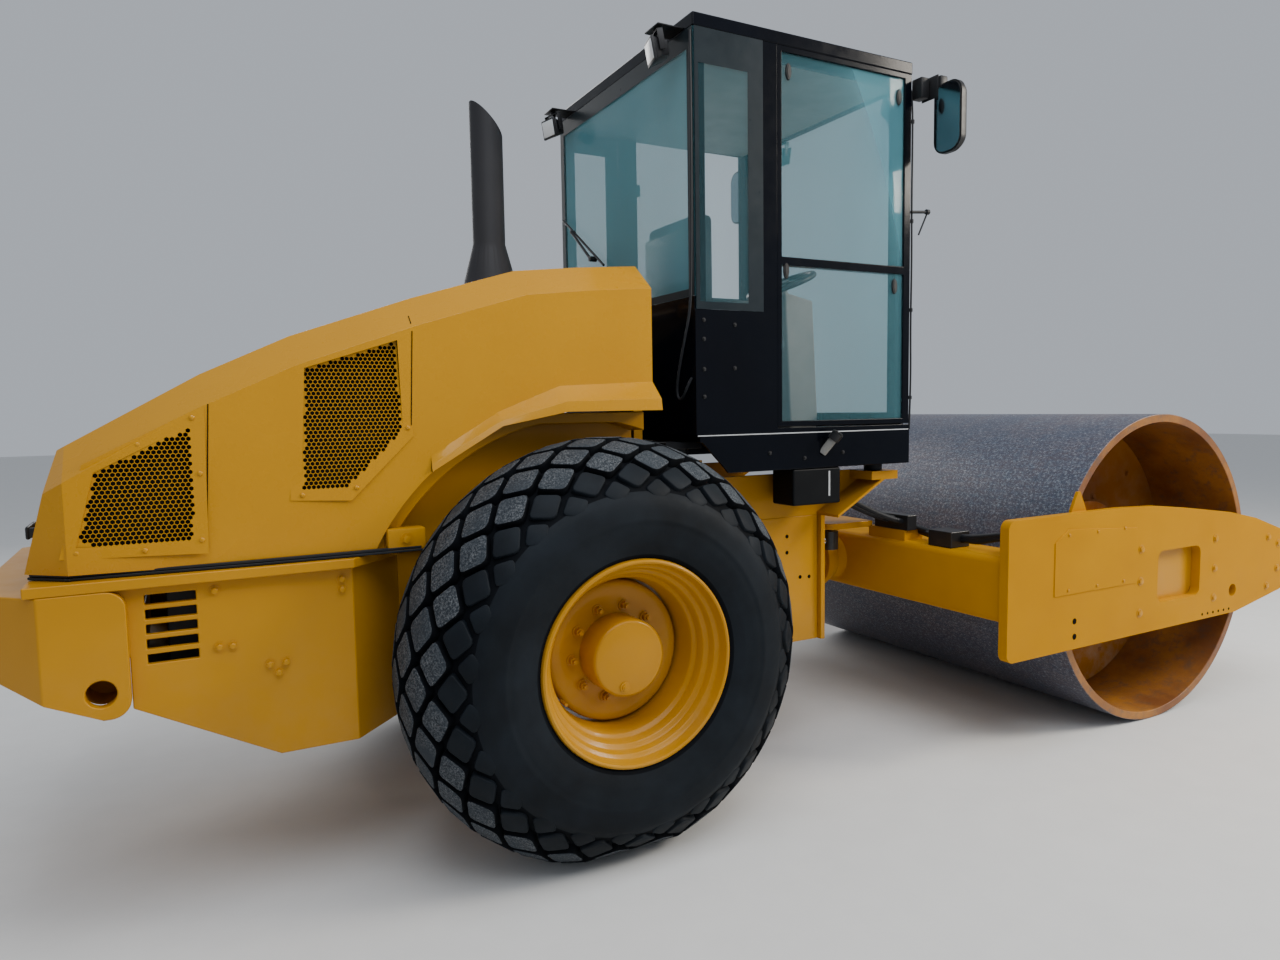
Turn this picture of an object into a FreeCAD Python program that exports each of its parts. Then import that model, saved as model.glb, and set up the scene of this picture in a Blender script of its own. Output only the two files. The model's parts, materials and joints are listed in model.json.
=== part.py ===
import FreeCAD, Part
import os
import re
import Sketcher

# Single-drum vibratory road roller: a hinged machine with a smooth steel drum in front,
# two tyres and the engine behind, and a two-window cab between them.
# Frame: +X forward to the drum, +Y left, +Z up, ground at Z = 0, in millimetres.
# Every station along X is counted from the rear axle, and axle_x puts the whole machine
# round the middle of its length.

doc = FreeCAD.newDocument("road_roller")
sheet = doc.addObject("Spreadsheet::Sheet", "Sizes")

# Driving dimensions: name, value in mm or degrees, meaning
SIZES = [
    ("wheelbase", 2935, "rear axle to drum centre"),
    ("rear_reach", 1900, "rear axle to the back of the bumper"),
    ("front_reach", 1025, "drum centre to the front end of the yoke plates"),
    ("touch_gap", 0.3, "gap between curved faces that sit on each other"),
    ("run_gap", 0.05, "radial clearance of a shaft in its bore"),
    ("move_gap", 5, "least gap between pieces that move past each other"),
    ("axle_z", 735, "height of the wheel centre on loaded tyres"),
    ("tyre_r", 762, "tyre radius over the lugs"),
    ("tyre_width", 587, "tyre section width"),
    ("tyre_wall", 45, "tyre wall thickness"),
    ("tread_thick", 95, "tread and belt thickness"),
    ("crown_deep", 270, "height of the tyre's rounded crown"),
    ("belt_drop", 60, "drop of the tyre's belt to the edge of its inner face"),
    ("bead_lip", 4, "tyre bead above the rim flange"),
    ("bead_side", 30, "rim flange to the lower sidewall"),
    ("bead_in", 22, "lower sidewall in from the tyre's full width"),
    ("side_foot", 90, "rim flange to the widest part of the tyre"),
    ("track_half", 820, "centre plane of a tyre from the machine's centre"),
    ("rim_seat_r", 330, "bead seat radius of the rim"),
    ("rim_flange_r", 360, "rim flange radius"),
    ("rim_width", 536, "rim width over the flanges"),
    ("rim_plate", 12, "rim plate thickness"),
    ("disc_depth", 213, "outer rim edge to the wheel disc"),
    ("disc_plate", 25, "wheel disc thickness"),
    ("hub_r", 136, "hub cap radius"),
    ("hub_reach", 125, "hub cap height above the wheel disc"),
    ("spindle_r", 60, "axle spindle radius"),
    ("spindle_depth", 75, "spindle length inside the hub"),
    ("axle_tube_r", 90, "axle housing radius"),
    ("gear_case_r", 140, "planetary gear case radius at the axle ends"),
    ("gear_case_in", 460, "inner end of a gear case"),
    ("drum_r", 765, "drum radius"),
    ("drum_half", 1067, "half the drum width"),
    ("drum_shell", 40, "drum shell thickness"),
    ("head_recess", 447, "drum edge to the outer face of a drum head"),
    ("head_plate", 30, "drum head thickness"),
    ("core_r", 150, "radius of the exciter housing tube"),
    ("isolator_long", 30, "rubber isolator length"),
    ("isolator_r", 45, "rubber isolator radius"),
    ("isolator_ring", 220, "radius of the isolator ring"),
    ("hub_plate", 40, "drum hub plate thickness"),
    ("hub_plate_r", 300, "drum hub plate radius"),
    ("carrier_gap", 15, "gap between a hub plate and the carrier tube"),
    ("carrier_r", 170, "carrier tube radius"),
    ("carrier_flange_r", 260, "carrier flange radius"),
    ("carrier_flange", 25, "carrier flange thickness"),
    ("journal_r", 60, "drum journal radius"),
    ("drum_side_gap", 28, "gap between the drum and a yoke side plate"),
    ("cover_plate", 10, "thickness of the cover plates on the yoke"),
    ("yoke_plate", 45, "yoke side plate thickness"),
    ("yoke_tail", 1190, "drum centre to the rear end of the yoke side plates"),
    ("yoke_low", 475, "lower edge of the yoke side plates"),
    ("yoke_high", 1095, "upper edge of the yoke side plates"),
    ("yoke_corner", 40, "corner radius of the yoke side plates"),
    ("beam_gap", 160, "gap between the drum and the rear crossbeam"),
    ("cheek_low_x", 565, "drum centre to the rise of the yoke plates' lower edge"),
    ("cheek_low_rise", 12, "rise of the lower edge there"),
    ("cheek_tip_rise", 90, "rise of the lower edge at the front end"),
    ("cheek_tip_drop", 215, "drop of the upper edge at the front end"),
    ("cheek_a_x", 735, "drum centre to the first bend of the upper edge"),
    ("cheek_a_drop", 126, "drop of the upper edge there"),
    ("cheek_b_x", 490, "drum centre to the second bend"),
    ("cheek_b_drop", 78, "drop of the upper edge there"),
    ("cheek_c_x", 149, "drum centre to the third bend"),
    ("cheek_c_drop", 35, "drop of the upper edge there"),
    ("cheek_d_x", -128, "drum centre to the fourth bend"),
    ("cheek_d_drop", 6, "drop of the upper edge there"),
    ("cheek_e_x", -416, "drum centre to the fifth bend"),
    ("cheek_e_drop", -4, "drop of the upper edge there"),
    ("view_back", 122, "drum centre to the rear edge of the yoke plates' window"),
    ("view_front", 232, "drum centre to the front edge of the window"),
    ("view_rise", 142, "lower edge of the window above the plates' lower edge"),
    ("view_drop", 226, "upper edge of the window below the plates' upper edge"),
    ("lift_hole_x", 533, "drum centre to the lifting hole"),
    ("lift_hole_rise", 130, "lifting hole above the plates' lower edge"),
    ("lift_hole_r", 32, "lifting hole radius"),
    ("cover_back", 300, "rear end of the yoke plates to their cover"),
    ("cover_step", 390, "rear end of the yoke plates to the cover's full height"),
    ("cover_front", 890, "rear end of the yoke plates to the cover's front edge"),
    ("cover_rise", 260, "lower edge of the cover above the plates' lower edge"),
    ("cover_drop", 65, "upper edge of the cover below the plates' upper edge"),
    ("cover_front_drop", 95, "drop of the cover's upper edge at the front"),
    ("cover_back_drop", 120, "drop of the cover's upper edge at the rear"),
    ("tie_reach", 718, "drum centre to the rear corner of a tie lug on the yoke plates"),
    ("tie_long", 103, "length of a tie lug"),
    ("tie_foot", 35, "foot of a tie lug below the plates' upper edge"),
    ("tie_rise", 93, "tip of a tie lug above the plates' upper edge"),
    ("tie_shoulder", 9, "shoulder of a tie lug above the plates' upper edge"),
    ("tie_tip", 16, "width of a tie lug's tip"),
    ("tie_plate", 15, "tie lug thickness"),
    ("beam_deep", 250, "rear crossbeam depth"),
    ("beam_low", 640, "rear crossbeam underside"),
    ("beam_high", 930, "rear crossbeam top"),
    ("beam_wall", 20, "crossbeam wall"),
    ("beam_round", 32, "crossbeam corner radius"),
    ("hose_seat_back", 20, "rear face of the crossbeam to the hose clamps"),
    ("hose_seat_long", 120, "length of the plinth under the inner hose clamp"),
    ("hose_seat_in", 260, "inner side of that plinth"),
    ("hose_seat_out", 510, "outer side of that plinth"),
    ("hose_seat_tall", 50, "height of that plinth"),
    ("hose_clamp_in", 300, "inner side of the inner hose clamp"),
    ("hose_clamp_out", 530, "outer side of the inner hose clamp"),
    ("hose_clamp_deep", 60, "depth of the inner hose clamp"),
    ("hose_clamp_tall", 75, "hose clamp height"),
    ("outer_clamp_in", 660, "inner side of the outer hose clamp"),
    ("outer_clamp_out", 800, "outer side of the outer hose clamp"),
    ("nose_reach", 815, "drum centre to the rear face of the front crossbeam"),
    ("nose_deep", 190, "front crossbeam depth"),
    ("nose_low", 600, "front crossbeam underside"),
    ("nose_high", 860, "front crossbeam top"),
    ("scraper_gap", 14, "gap between scraper and drum"),
    ("scraper_z", 600, "height of the scraper edges"),
    ("scraper_half", 1000, "half the scraper length"),
    ("pivot_reach", 260, "articulation pivot to the rear crossbeam"),
    ("pin_r", 40, "articulation pin radius"),
    ("boss_r", 85, "hitch boss radius"),
    ("lug_plate", 35, "hitch lug thickness"),
    ("lug_low", 560, "underside of the lower hitch lug"),
    ("lug_high", 970, "top of the upper hitch lug"),
    ("swing_z", 785, "height of the oscillation axis"),
    ("trunnion_r", 70, "oscillation trunnion radius"),
    ("housing_r", 120, "oscillation housing radius"),
    ("thrust_gap", 60, "oscillation housing to the rear crossbeam"),
    ("disc_gap", 2, "oscillation housing to its thrust disc"),
    ("collar_r", 150, "bolted collar radius"),
    ("collar_reach", 85, "rear face of the bolted collar to the housing's front end"),
    ("collar_wide", 30, "bolted collar thickness"),
    ("arm_half", 280, "steering arm pin from the centre plane"),
    ("arm_low", 985, "underside of the steering plate"),
    ("arm_plate", 30, "steering plate thickness"),
    ("web_half", 60, "half the width of the web under the steering plate"),
    ("ear_r", 50, "radius of the steering arm ends"),
    ("anchor_share", 0.4, "place of the anchor pin between the arch's foot and the frame's front"),
    ("anchor_half", 240, "anchor pin from the centre plane"),
    ("cylinder_z", 930, "height of the steering cylinders"),
    ("barrel_r", 42, "steering cylinder barrel radius"),
    ("barrel_share", 0.643, "barrel length as a share of the cylinder's length"),
    ("barrel_bore_from", 60, "start of the barrel bore"),
    ("ram_r", 25, "steering rod radius"),
    ("ram_share", 0.657, "steering rod length as a share of the cylinder's length"),
    ("eye_r", 45, "rod and barrel eye radius"),
    ("eye_tall", 90, "rod and barrel eye height"),
    ("small_pin_r", 20, "steering cylinder pin radius"),
    ("frame_half", 650, "half the width of the rear frame"),
    ("neck_half", 450, "half the width of the frame between the tyres"),
    ("frame_plate", 25, "frame plate thickness"),
    ("rear_gap", 200, "rear end of the rear frame to the back of the bumper"),
    ("step_gap", 200, "rear end of the rear frame to the bumper's front edge"),
    ("frame_notch", 880, "underside of the rear frame above the bumper cheek"),
    ("slope_high", 722, "upper end of the sloped belly"),
    ("slope_front", -1095, "lower end of the sloped belly"),
    ("frame_low", 500, "frame underside"),
    ("frame_top", 1090, "frame top"),
    ("bay_front", -850, "front end of the wide engine bay"),
    ("neck_back", -660, "start of the narrow frame"),
    ("nose_gap", 190, "front face of the frame to the articulation pivot"),
    ("face_half", 475, "half the width of the frame's front plate"),
    ("face_top", 1090, "top of the frame's front plate"),
    ("arch_half", 330, "half the length of the frame's arch over the axle"),
    ("arch_foot", 460, "half the length of the arch at the frame's underside"),
    ("arch_z", 850, "underside of the frame over the axle"),
    ("ledge", 40, "overhang of the frame's top flange"),
    ("ledge_in", 60, "inner width of the frame's top flange"),
    ("ledge_tall", 32, "height of the frame's top flange"),
    ("ledge_tail", 50, "overhang of the top flange behind the frame"),
    ("slot_gap", 46, "bumper's front edge to the air slots"),
    ("slot_long", 138, "length of an air slot"),
    ("slot_tall", 30, "height of an air slot"),
    ("slot_first", 1048, "height of the uppermost air slot"),
    ("slot_pitch", 45.5, "distance between air slots"),
    ("bumper_plate", 40, "bumper plate thickness"),
    ("bend_gap", 20, "rear end of the rear frame to the bend of the bumper's cheeks"),
    ("bumper_tail", 510, "half the width of the bumper's rear face"),
    ("bumper_low", 710, "bumper underside"),
    ("rise_gap", 72, "bumper's front edge to its rising underside"),
    ("bumper_rise", 864, "bumper underside at its rear end"),
    ("bumper_corner", 55, "corner radius of the bumper cheeks"),
    ("tow_gap", 76, "bumper's front edge to the tow hole"),
    ("tow_z", 790, "height of the tow hole"),
    ("tow_r", 40, "tow hole radius"),
    ("fan_gap", 200, "gap between the radiator and the engine"),
    ("engine_front", -50, "front end of the engine"),
    ("engine_half", 330, "half the engine width"),
    ("engine_top", 1600, "engine top"),
    ("radiator_gap", 300, "rear end of the rear frame to the radiator"),
    ("radiator_deep", 150, "radiator depth"),
    ("radiator_half", 480, "half the radiator width"),
    ("radiator_top", 1480, "radiator top"),
    ("liner_out", 505, "outer face of the inner fender wall"),
    ("liner_plate", 15, "inner fender thickness"),
    ("liner_back", -790, "rear end of the inner fenders"),
    ("liner_front", 280, "front end of the inner fenders"),
    ("liner_top", 1585, "top of the inner fenders"),
    ("liner_arch_r", 825, "inner radius of the fender arch"),
    ("liner_arch_out", 612, "outer edge of the fender arch"),
    ("liner_arch_flat", 1545, "height of the arch's flat crown"),
    ("flare_out", 70, "reach of the hood's flare over the tyre"),
    ("flare_lip", 8, "extra reach at the flare's lower edge"),
    ("deck_back", 350, "rear end of the cab deck"),
    ("deck_gap", 30, "front end of the cab deck to the front face of the frame"),
    ("deck_top", 1290, "top of the cab deck"),
    ("outrigger_front", 1640, "front end of the cab outriggers"),
    ("outrigger_half", 600, "outer edge of the cab outriggers"),
    ("outrigger_tip", 1250, "underside of the outrigger tips"),
    ("mount_side", 80, "length of a cab mount"),
    ("mount_out", 515, "outer edge of the rear cab mounts"),
    ("mount_in", 415, "inner edge of the rear cab mounts"),
    ("mount_back", 434, "rear edge of the rear cab mounts"),
    ("mount_front", 609, "front edge of the rear cab mounts"),
    ("mount_shelf", 1375, "top of the rear cab mounts' shelf"),
    ("mount_rubber_r", 42, "radius of a cab mount's rubber"),
    ("mount_pad", 30, "height of the plate on a cab mount's rubber"),
    ("cab_back", 497, "rear face of the cab"),
    ("cab_front", 1659, "front face of the cab"),
    ("cab_half", 653, "half the cab width"),
    ("cab_floor", 1485, "top of the cab floor"),
    ("floor_plate", 30, "cab floor thickness"),
    ("skirt_low", 1326, "lower edge of the cab skirt"),
    ("skirt_plate", 12, "cab skirt thickness"),
    ("skirt_slant_high", 1467, "upper end of the skirt's rear slant"),
    ("skirt_slant_low", 1349, "lower end of the skirt's rear slant"),
    ("skirt_slant_back", 513, "rear end of the skirt"),
    ("skirt_slant_front", 630, "front end of the skirt's slant"),
    ("roof_under", 3070, "underside of the cab roof"),
    ("roof_thick", 54, "cab roof thickness"),
    ("post", 50, "cab post width"),
    ("pane", 6, "glass thickness"),
    ("wall", 40, "cab wall thickness"),
    ("rail", 50, "cab roof rail height"),
    ("rear_sill", 2040, "lower edge of the rear window"),
    ("quarter_sill", 1988, "lower edge of the quarter glass"),
    ("quarter_front", 830, "front edge of the quarter glass"),
    ("window_back", 902, "rear edge of the side window frame"),
    ("window_low", 1510, "lower edge of the side window frame"),
    ("window_rim", 24, "visible width of the side window frame"),
    ("window_front_rim", 40, "front width of the side window frame"),
    ("window_bar_low", 2185, "underside of the window bar"),
    ("window_bar_high", 2220, "top of the window bar"),
    ("screen_low", 1560, "lower edge of the windscreen"),
    ("hinge_x", 886, "door hinge axis"),
    ("hinge_out", 22, "door hinge axis outside the cab wall"),
    ("hinge_pin_r", 8, "door hinge pin radius"),
    ("hinge_r", 16, "door hinge knuckle radius"),
    ("hinge_tall", 60, "door hinge knuckle height"),
    ("hinge_low", 190, "window frame's lower edge to the lower hinge"),
    ("hinge_high", 320, "upper hinge to the roof"),
    ("hinge_strap", 80, "length of a door hinge strap"),
    ("seat_back_x", 760, "rear face of the seat back"),
    ("seat_back_deep", 110, "seat back thickness"),
    ("seat_front_x", 1270, "front edge of the seat"),
    ("seat_half", 250, "half the seat width"),
    ("seat_z", 1960, "seat height"),
    ("seat_cushion", 120, "cushion thickness"),
    ("seat_top", 2480, "top of the seat back"),
    ("seat_base_half", 190, "half the width of the seat base"),
    ("column_x", 1500, "steering column foot"),
    ("column_half", 90, "half the steering column width"),
    ("column_top", 2130, "top of the steering column"),
    ("steer_x", 1420, "steering wheel centre"),
    ("steer_z", 2210, "height of the steering wheel centre"),
    ("steer_tilt", 22, "tilt of the steering wheel"),
    ("steer_r", 185, "steering wheel radius"),
    ("steer_rim", 15, "steering wheel rim radius"),
    ("steer_hub_r", 45, "steering wheel hub radius"),
    ("steer_hub_tall", 30, "steering wheel hub height"),
    ("stalk_r", 22, "steering shaft radius"),
    ("stalk_long", 90, "visible steering shaft length"),
    ("bottle_long", 265, "length of the washer bottle"),
    ("bottle_gap", 30, "front end of the cab deck to the washer bottle"),
    ("bottle_low", 1165, "underside of the washer bottle"),
    ("bottle_out", 650, "outer face of the washer bottle"),
    ("bottle_in", 500, "inner face of the washer bottle"),
    ("mirror_x", 1715, "mirror plane"),
    ("mirror_thick", 60, "mirror housing depth"),
    ("mirror_in", 725, "inner edge of a mirror"),
    ("mirror_out", 880, "outer edge of a mirror"),
    ("mirror_drop", 65, "roof's underside to the upper edge of a mirror"),
    ("mirror_tall", 305, "mirror height"),
    ("mirror_corner", 40, "corner radius of a mirror"),
    ("mirror_arm", 45, "mirror arm height"),
    ("lamp_deep", 70, "work lamp depth"),
    ("lamp_side", 110, "work lamp width and height"),
    ("lamp_hang", 15, "lamp to the roof's underside"),
    ("lamp_plate", 8, "lamp bracket thickness"),
    ("lamp_reach", 90, "lamp centre from the cab's end face"),
    ("rear_lamp_y", 530, "rear lamp from the centre plane"),
    ("front_lamp_y", 430, "front lamp from the centre plane"),
    ("step_back", 835, "rear side of the steps"),
    ("step_front", 1130, "front side of the steps"),
    ("step_in", 660, "inner edge of the steps"),
    ("step_out", 900, "outer edge of the steps"),
    ("step_first", 470, "height of the lowest step"),
    ("step_rise", 290, "height from step to step"),
    ("step_plate", 12, "step plate thickness"),
    ("step_tread", 30, "step tread height"),
    ("grab_r", 16, "grab rail radius"),
    ("grab_low", 1560, "lower end of the grab rail"),
    ("grab_high", 2360, "upper end of the grab rail"),
    ("grab_out", 70, "grab rail distance from the cab"),
    ("hood_front", 300, "front end of the hood"),
    ("hood_half", 650, "half the hood width"),
    ("hood_top_half", 520, "half the width of the hood's flat top"),
    ("hood_shell", 12, "hood wall thickness"),
    ("hood_drop", 102, "height of the hood's shoulder"),
    ("hood_tail_half", 555, "half the hood width at its rear end"),
    ("hood_tail_top_half", 450, "half the width of the flat top at the rear end"),
    ("hood_tail", -1760, "rear end of the hood"),
    ("hood_low_back", 1142, "lower rear corner of the hood"),
    ("hood_low_front", 1128, "lower edge of the hood at the wheel arch"),
    ("hood_slant_x", -1664, "upper rear corner of the hood"),
    ("hood_slant_z", 1497, "height of the upper rear corner"),
    ("hood_arch_r", 870, "radius of the hood's wheel arch"),
    ("hood_lip_z", 1590, "lower edge of the hood over the tyre"),
    ("hood_hinge_x", 340, "hood hinge"),
    ("hood_hinge_z", 2020, "height of the hood hinge"),
    ("hood_pin_r", 15, "hood hinge pin radius"),
    ("hood_arm_half", 300, "hood hinge arm from the centre plane"),
    ("hood_arm_wide", 20, "hood hinge arm thickness"),
    ("hinge_post", 40, "hood hinge post depth"),
    ("mesh_plate", 6, "grille plate thickness"),
    ("mesh_rim", 26, "overlap of a grille plate behind its opening"),
    ("mesh_back", -1600, "rear end of the top grille"),
    ("mesh_front", -1270, "front end of the top grille"),
    ("mesh_half", 400, "half the width of the top grille"),
    ("top_tail_x", -1760, "hood section at the tail"),
    ("top_tail_z", 1440, "height of the hood there"),
    ("top_rear_x", -1640, "hood section at the upper rear corner"),
    ("top_rear_z", 1512, "height of the hood there"),
    ("top_grille_x", -1269, "hood section at the top grille's front end"),
    ("top_grille_z", 1727, "height of the hood there"),
    ("top_middle_x", -999, "hood section at the side grilles"),
    ("top_middle_z", 1853, "height of the hood there"),
    ("top_rise_x", -591, "hood section at the start of the wheel arch"),
    ("top_rise_z", 1996, "height of the hood there"),
    ("top_crown_x", -208, "hood section behind the exhaust stack"),
    ("top_crown_z", 2112, "height of the hood there"),
    ("top_brow_x", 48, "hood section in front of the exhaust stack"),
    ("top_brow_z", 2140, "height of the hood there"),
    ("top_front_z", 2160, "height of the hood's front end"),
    ("vent_a_x", -972, "front side grille, upper rear corner"),
    ("vent_a_z", 1743, "height of that corner"),
    ("vent_b_x", -675, "front side grille, upper front corner"),
    ("vent_b_z", 1838, "height of that corner"),
    ("vent_c_x", -667, "front side grille, front corner"),
    ("vent_c_z", 1531, "height of that corner"),
    ("vent_d_x", -857, "front side grille, lower front corner"),
    ("vent_d_z", 1345, "height of that corner"),
    ("vent_e_x", -996, "front side grille, lower rear corner"),
    ("vent_e_z", 1353, "height of that corner"),
    ("vent_f_x", -1299, "rear side grille, upper front corner"),
    ("vent_f_z", 1572, "height of that corner"),
    ("vent_g_x", -1562, "rear side grille, upper rear corner"),
    ("vent_g_z", 1436, "height of that corner"),
    ("vent_h_x", -1616, "rear side grille, lower rear corner"),
    ("vent_h_z", 1221, "height of that corner"),
    ("vent_i_x", -1307, "rear side grille, lower front corner"),
    ("vent_i_z", 1211, "height of that corner"),
    ("flare_a_x", -575, "flare section at its rear end"),
    ("flare_a_high", 1446, "upper edge of the flare there"),
    ("flare_a_low", 1392, "lower edge of the flare there"),
    ("flare_b_x", -330, "flare section on the arch"),
    ("flare_b_high", 1592, "upper edge of the flare there"),
    ("flare_b_low", 1543, "lower edge of the flare there"),
    ("flare_c_x", -90, "flare section at the crown"),
    ("flare_c_high", 1684, "upper edge of the flare there"),
    ("flare_d_high", 1700, "upper edge of the flare at its front end"),
    ("stack_x", -124, "exhaust stack"),
    ("stack_r", 68, "exhaust pipe radius"),
    ("stack_wall", 4, "exhaust pipe wall"),
    ("stack_foot_r", 118, "radius of the stack's foot"),
    ("stack_foot_z", 2300, "top of the stack's foot"),
    ("stack_top", 2885, "tip of the stack"),
    ("stack_lip", 2745, "front lip of the stack's mouth"),
]

for row, (alias, value, meaning) in enumerate(SIZES, start=1):
    sheet.set(f"A{row}", meaning)
    sheet.set(f"B{row}", str(value))
    sheet.setAlias(f"B{row}", alias)

# Sizes that follow from others: name, formula, meaning
DERIVED = [
    ("axle_x", "(rear_reach - wheelbase - front_reach) / 2", "rear axle in the machine's frame"),
    ("frame_back", "rear_gap - rear_reach", "rear end of the rear frame"),
    ("frame_step", "frame_back + step_gap", "bumper's front edge"),
    ("ledge_back", "frame_back - ledge_tail", "rear end of the top flange"),
    ("slot_back", "frame_step + slot_gap", "rear end of the air slots"),
    ("bumper_bend", "frame_back - bend_gap", "bend of the bumper's cheeks"),
    ("bumper_rise_from", "frame_step - rise_gap", "start of the rising bumper underside"),
    ("tow_x", "frame_step - tow_gap", "tow hole"),
    ("radiator_back", "frame_back + radiator_gap", "rear face of the radiator"),
    ("engine_back", "radiator_back + radiator_deep + fan_gap", "rear end of the engine"),
    ("yoke_half", "drum_half + drum_side_gap + yoke_plate + cover_plate", "half the yoke width"),
    ("head_in", "drum_half - head_recess - head_plate", "inner face of a drum head"),
    ("yoke_back", "wheelbase - yoke_tail", "rear end of the yoke side plates"),
    ("beam_reach", "drum_r + beam_gap + beam_deep", "drum centre to the rear face of the crossbeam"),
    ("beam_back", "wheelbase - beam_reach", "rear face of the rear crossbeam"),
    ("nose_back", "wheelbase + nose_reach", "rear face of the front crossbeam"),
    ("pivot_x", "beam_back - pivot_reach", "articulation pivot"),
    ("housing_front", "beam_back - thrust_gap", "front end of the oscillation housing"),
    ("collar_back", "housing_front - collar_reach", "rear face of the bolted collar"),
    ("frame_front", "pivot_x - nose_gap", "front face of the frame"),
    ("deck_front", "frame_front - deck_gap", "front end of the cab deck"),
    ("bottle_front", "deck_front - bottle_gap", "front face of the washer bottle"),
    ("bottle_back", "bottle_front - bottle_long", "rear face of the washer bottle"),
    ("anchor_x", "arch_foot + (frame_front - arch_foot) * anchor_share", "cylinder anchor pin"),
    ("anchor_reach", "pivot_x - anchor_x", "anchor pin to the articulation pivot"),
    ("barrel_end", "anchor_reach * barrel_share", "barrel length from its anchor pin"),
    ("ram_long", "anchor_reach * ram_share", "steering rod length from its eye"),
    ("mirror_high", "roof_under - mirror_drop", "upper edge of a mirror"),
    ("mirror_low", "mirror_high - mirror_tall", "lower edge of a mirror"),
    ("bumper_top", "frame_top", "bumper top"),
    ("roof_top", "roof_under + roof_thick", "top of the cab roof"),
    ("hinge_first", "window_low + hinge_low", "lower end of the lowest hinge knuckle"),
    ("hinge_pitch", "roof_under - hinge_high - hinge_first", "distance between the door hinges"),
    ("top_front_x", "hood_front", "hood section at the front end"),
]

for row, (alias, formula, meaning) in enumerate(DERIVED, start=len(SIZES) + 1):
    sheet.set(f"A{row}", meaning)
    sheet.set(f"B{row}", f"={formula}")
    sheet.setAlias(f"B{row}", alias)
doc.recompute()

ALIASES = [row[0] for row in SIZES] + [row[0] for row in DERIVED]
WORD = re.compile(r"\b(" + "|".join(sorted(ALIASES, key=len, reverse=True)) + r")\b")


def cell(text):
    """Expression text with its size names pointing into the sheet."""
    return WORD.sub(r"Sizes.\1", str(text))


def value(text):
    """Present value of an expression."""
    return float(sheet.evalExpression(str(text)))


def bind(item, prop, text):
    item.setExpression(prop, cell(text))


def along(text):
    """Position in the machine's frame of a station counted from the axle."""
    return f"axle_x + ({text})"


def flip(text):
    return f"-({text})"


def box(name, x, y, z):
    """Box between two stations along X and two places along Y and Z."""
    item = doc.addObject("Part::Box", name)
    bind(item, "Placement.Base.x", along(x[0]))
    bind(item, "Placement.Base.y", y[0])
    bind(item, "Placement.Base.z", z[0])
    bind(item, "Length", f"({x[1]}) - ({x[0]})")
    bind(item, "Width", f"({y[1]}) - ({y[0]})")
    bind(item, "Height", f"({z[1]}) - ({z[0]})")
    return item


TURN = {
    "X": FreeCAD.Rotation(FreeCAD.Vector(0, 1, 0), 90),
    "Y": FreeCAD.Rotation(FreeCAD.Vector(1, 0, 0), -90),
    "Z": FreeCAD.Rotation(),
}


def cylinder(name, axis, centre, span, radius):
    """Cylinder along an axis; centre gives its two other coordinates in X, Y, Z order."""
    item = doc.addObject("Part::Cylinder", name)
    item.Placement = FreeCAD.Placement(FreeCAD.Vector(), TURN[axis])
    places = {
        "X": (along(span[0]), centre[0], centre[1]),
        "Y": (along(centre[0]), span[0], centre[1]),
        "Z": (along(centre[0]), centre[1], span[0]),
    }[axis]
    for letter, text in zip("xyz", places):
        bind(item, f"Placement.Base.{letter}", text)
    bind(item, "Radius", radius)
    bind(item, "Height", f"({span[1]}) - ({span[0]})")
    return item


def draw(sketch, points):
    """Closed outline whose corners are held by sheet sizes."""
    spots = [FreeCAD.Vector(value(a), value(b), 0) for a, b in points]
    count = len(spots)
    for index, spot in enumerate(spots):
        sketch.addGeometry(Part.LineSegment(spot, spots[(index + 1) % count]), False)
    for index in range(count):
        sketch.addConstraint(Sketcher.Constraint("Coincident", index, 2, (index + 1) % count, 1))
    for index, (a, b) in enumerate(points):
        for kind, text, place in (("DistanceX", a, spots[index].x), ("DistanceY", b, spots[index].y)):
            number = sketch.addConstraint(Sketcher.Constraint(kind, -1, 1, index, 1, place))
            bind(sketch, f"Constraints[{number}]", text)


def origin_plane(body, role):
    return next(f for f in body.Origin.OriginFeatures if f.Role == role)


def new_body(name, role, points, offset):
    body = doc.addObject("PartDesign::Body", name)
    sketch = body.newObject("Sketcher::SketchObject", f"{name}_outline")
    sketch.AttachmentSupport = (origin_plane(body, role), [""])
    sketch.MapMode = "FlatFace"
    bind(sketch, "AttachmentOffset.Base.z", offset)
    draw(sketch, points)
    return body, sketch


EVERY = "every corner"


def plate(name, plane, points, span, rounded=(), radius=None):
    """Padded outline: in XZ along Y, in XY along Z, in YZ along X; rounded lists points or is EVERY."""
    if plane == "XZ":
        shifted = [(along(a), b) for a, b in points]
        start = flip(span[1])
    elif plane == "XY":
        shifted = [(along(a), b) for a, b in points]
        start = span[0]
    else:
        shifted = points
        start = along(span[0])
    body, sketch = new_body(name, f"{plane}_Plane", shifted, start)
    pad = body.newObject("PartDesign::Pad", f"{name}_pad")
    pad.Profile = sketch
    bind(pad, "Length", f"({span[1]}) - ({span[0]})")
    if rounded:
        doc.recompute()
        picked = [place for place, point in zip(shifted, points) if rounded == EVERY or point in rounded]
        round_corners(body, pad, plane, picked, radius)
    return body


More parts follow.
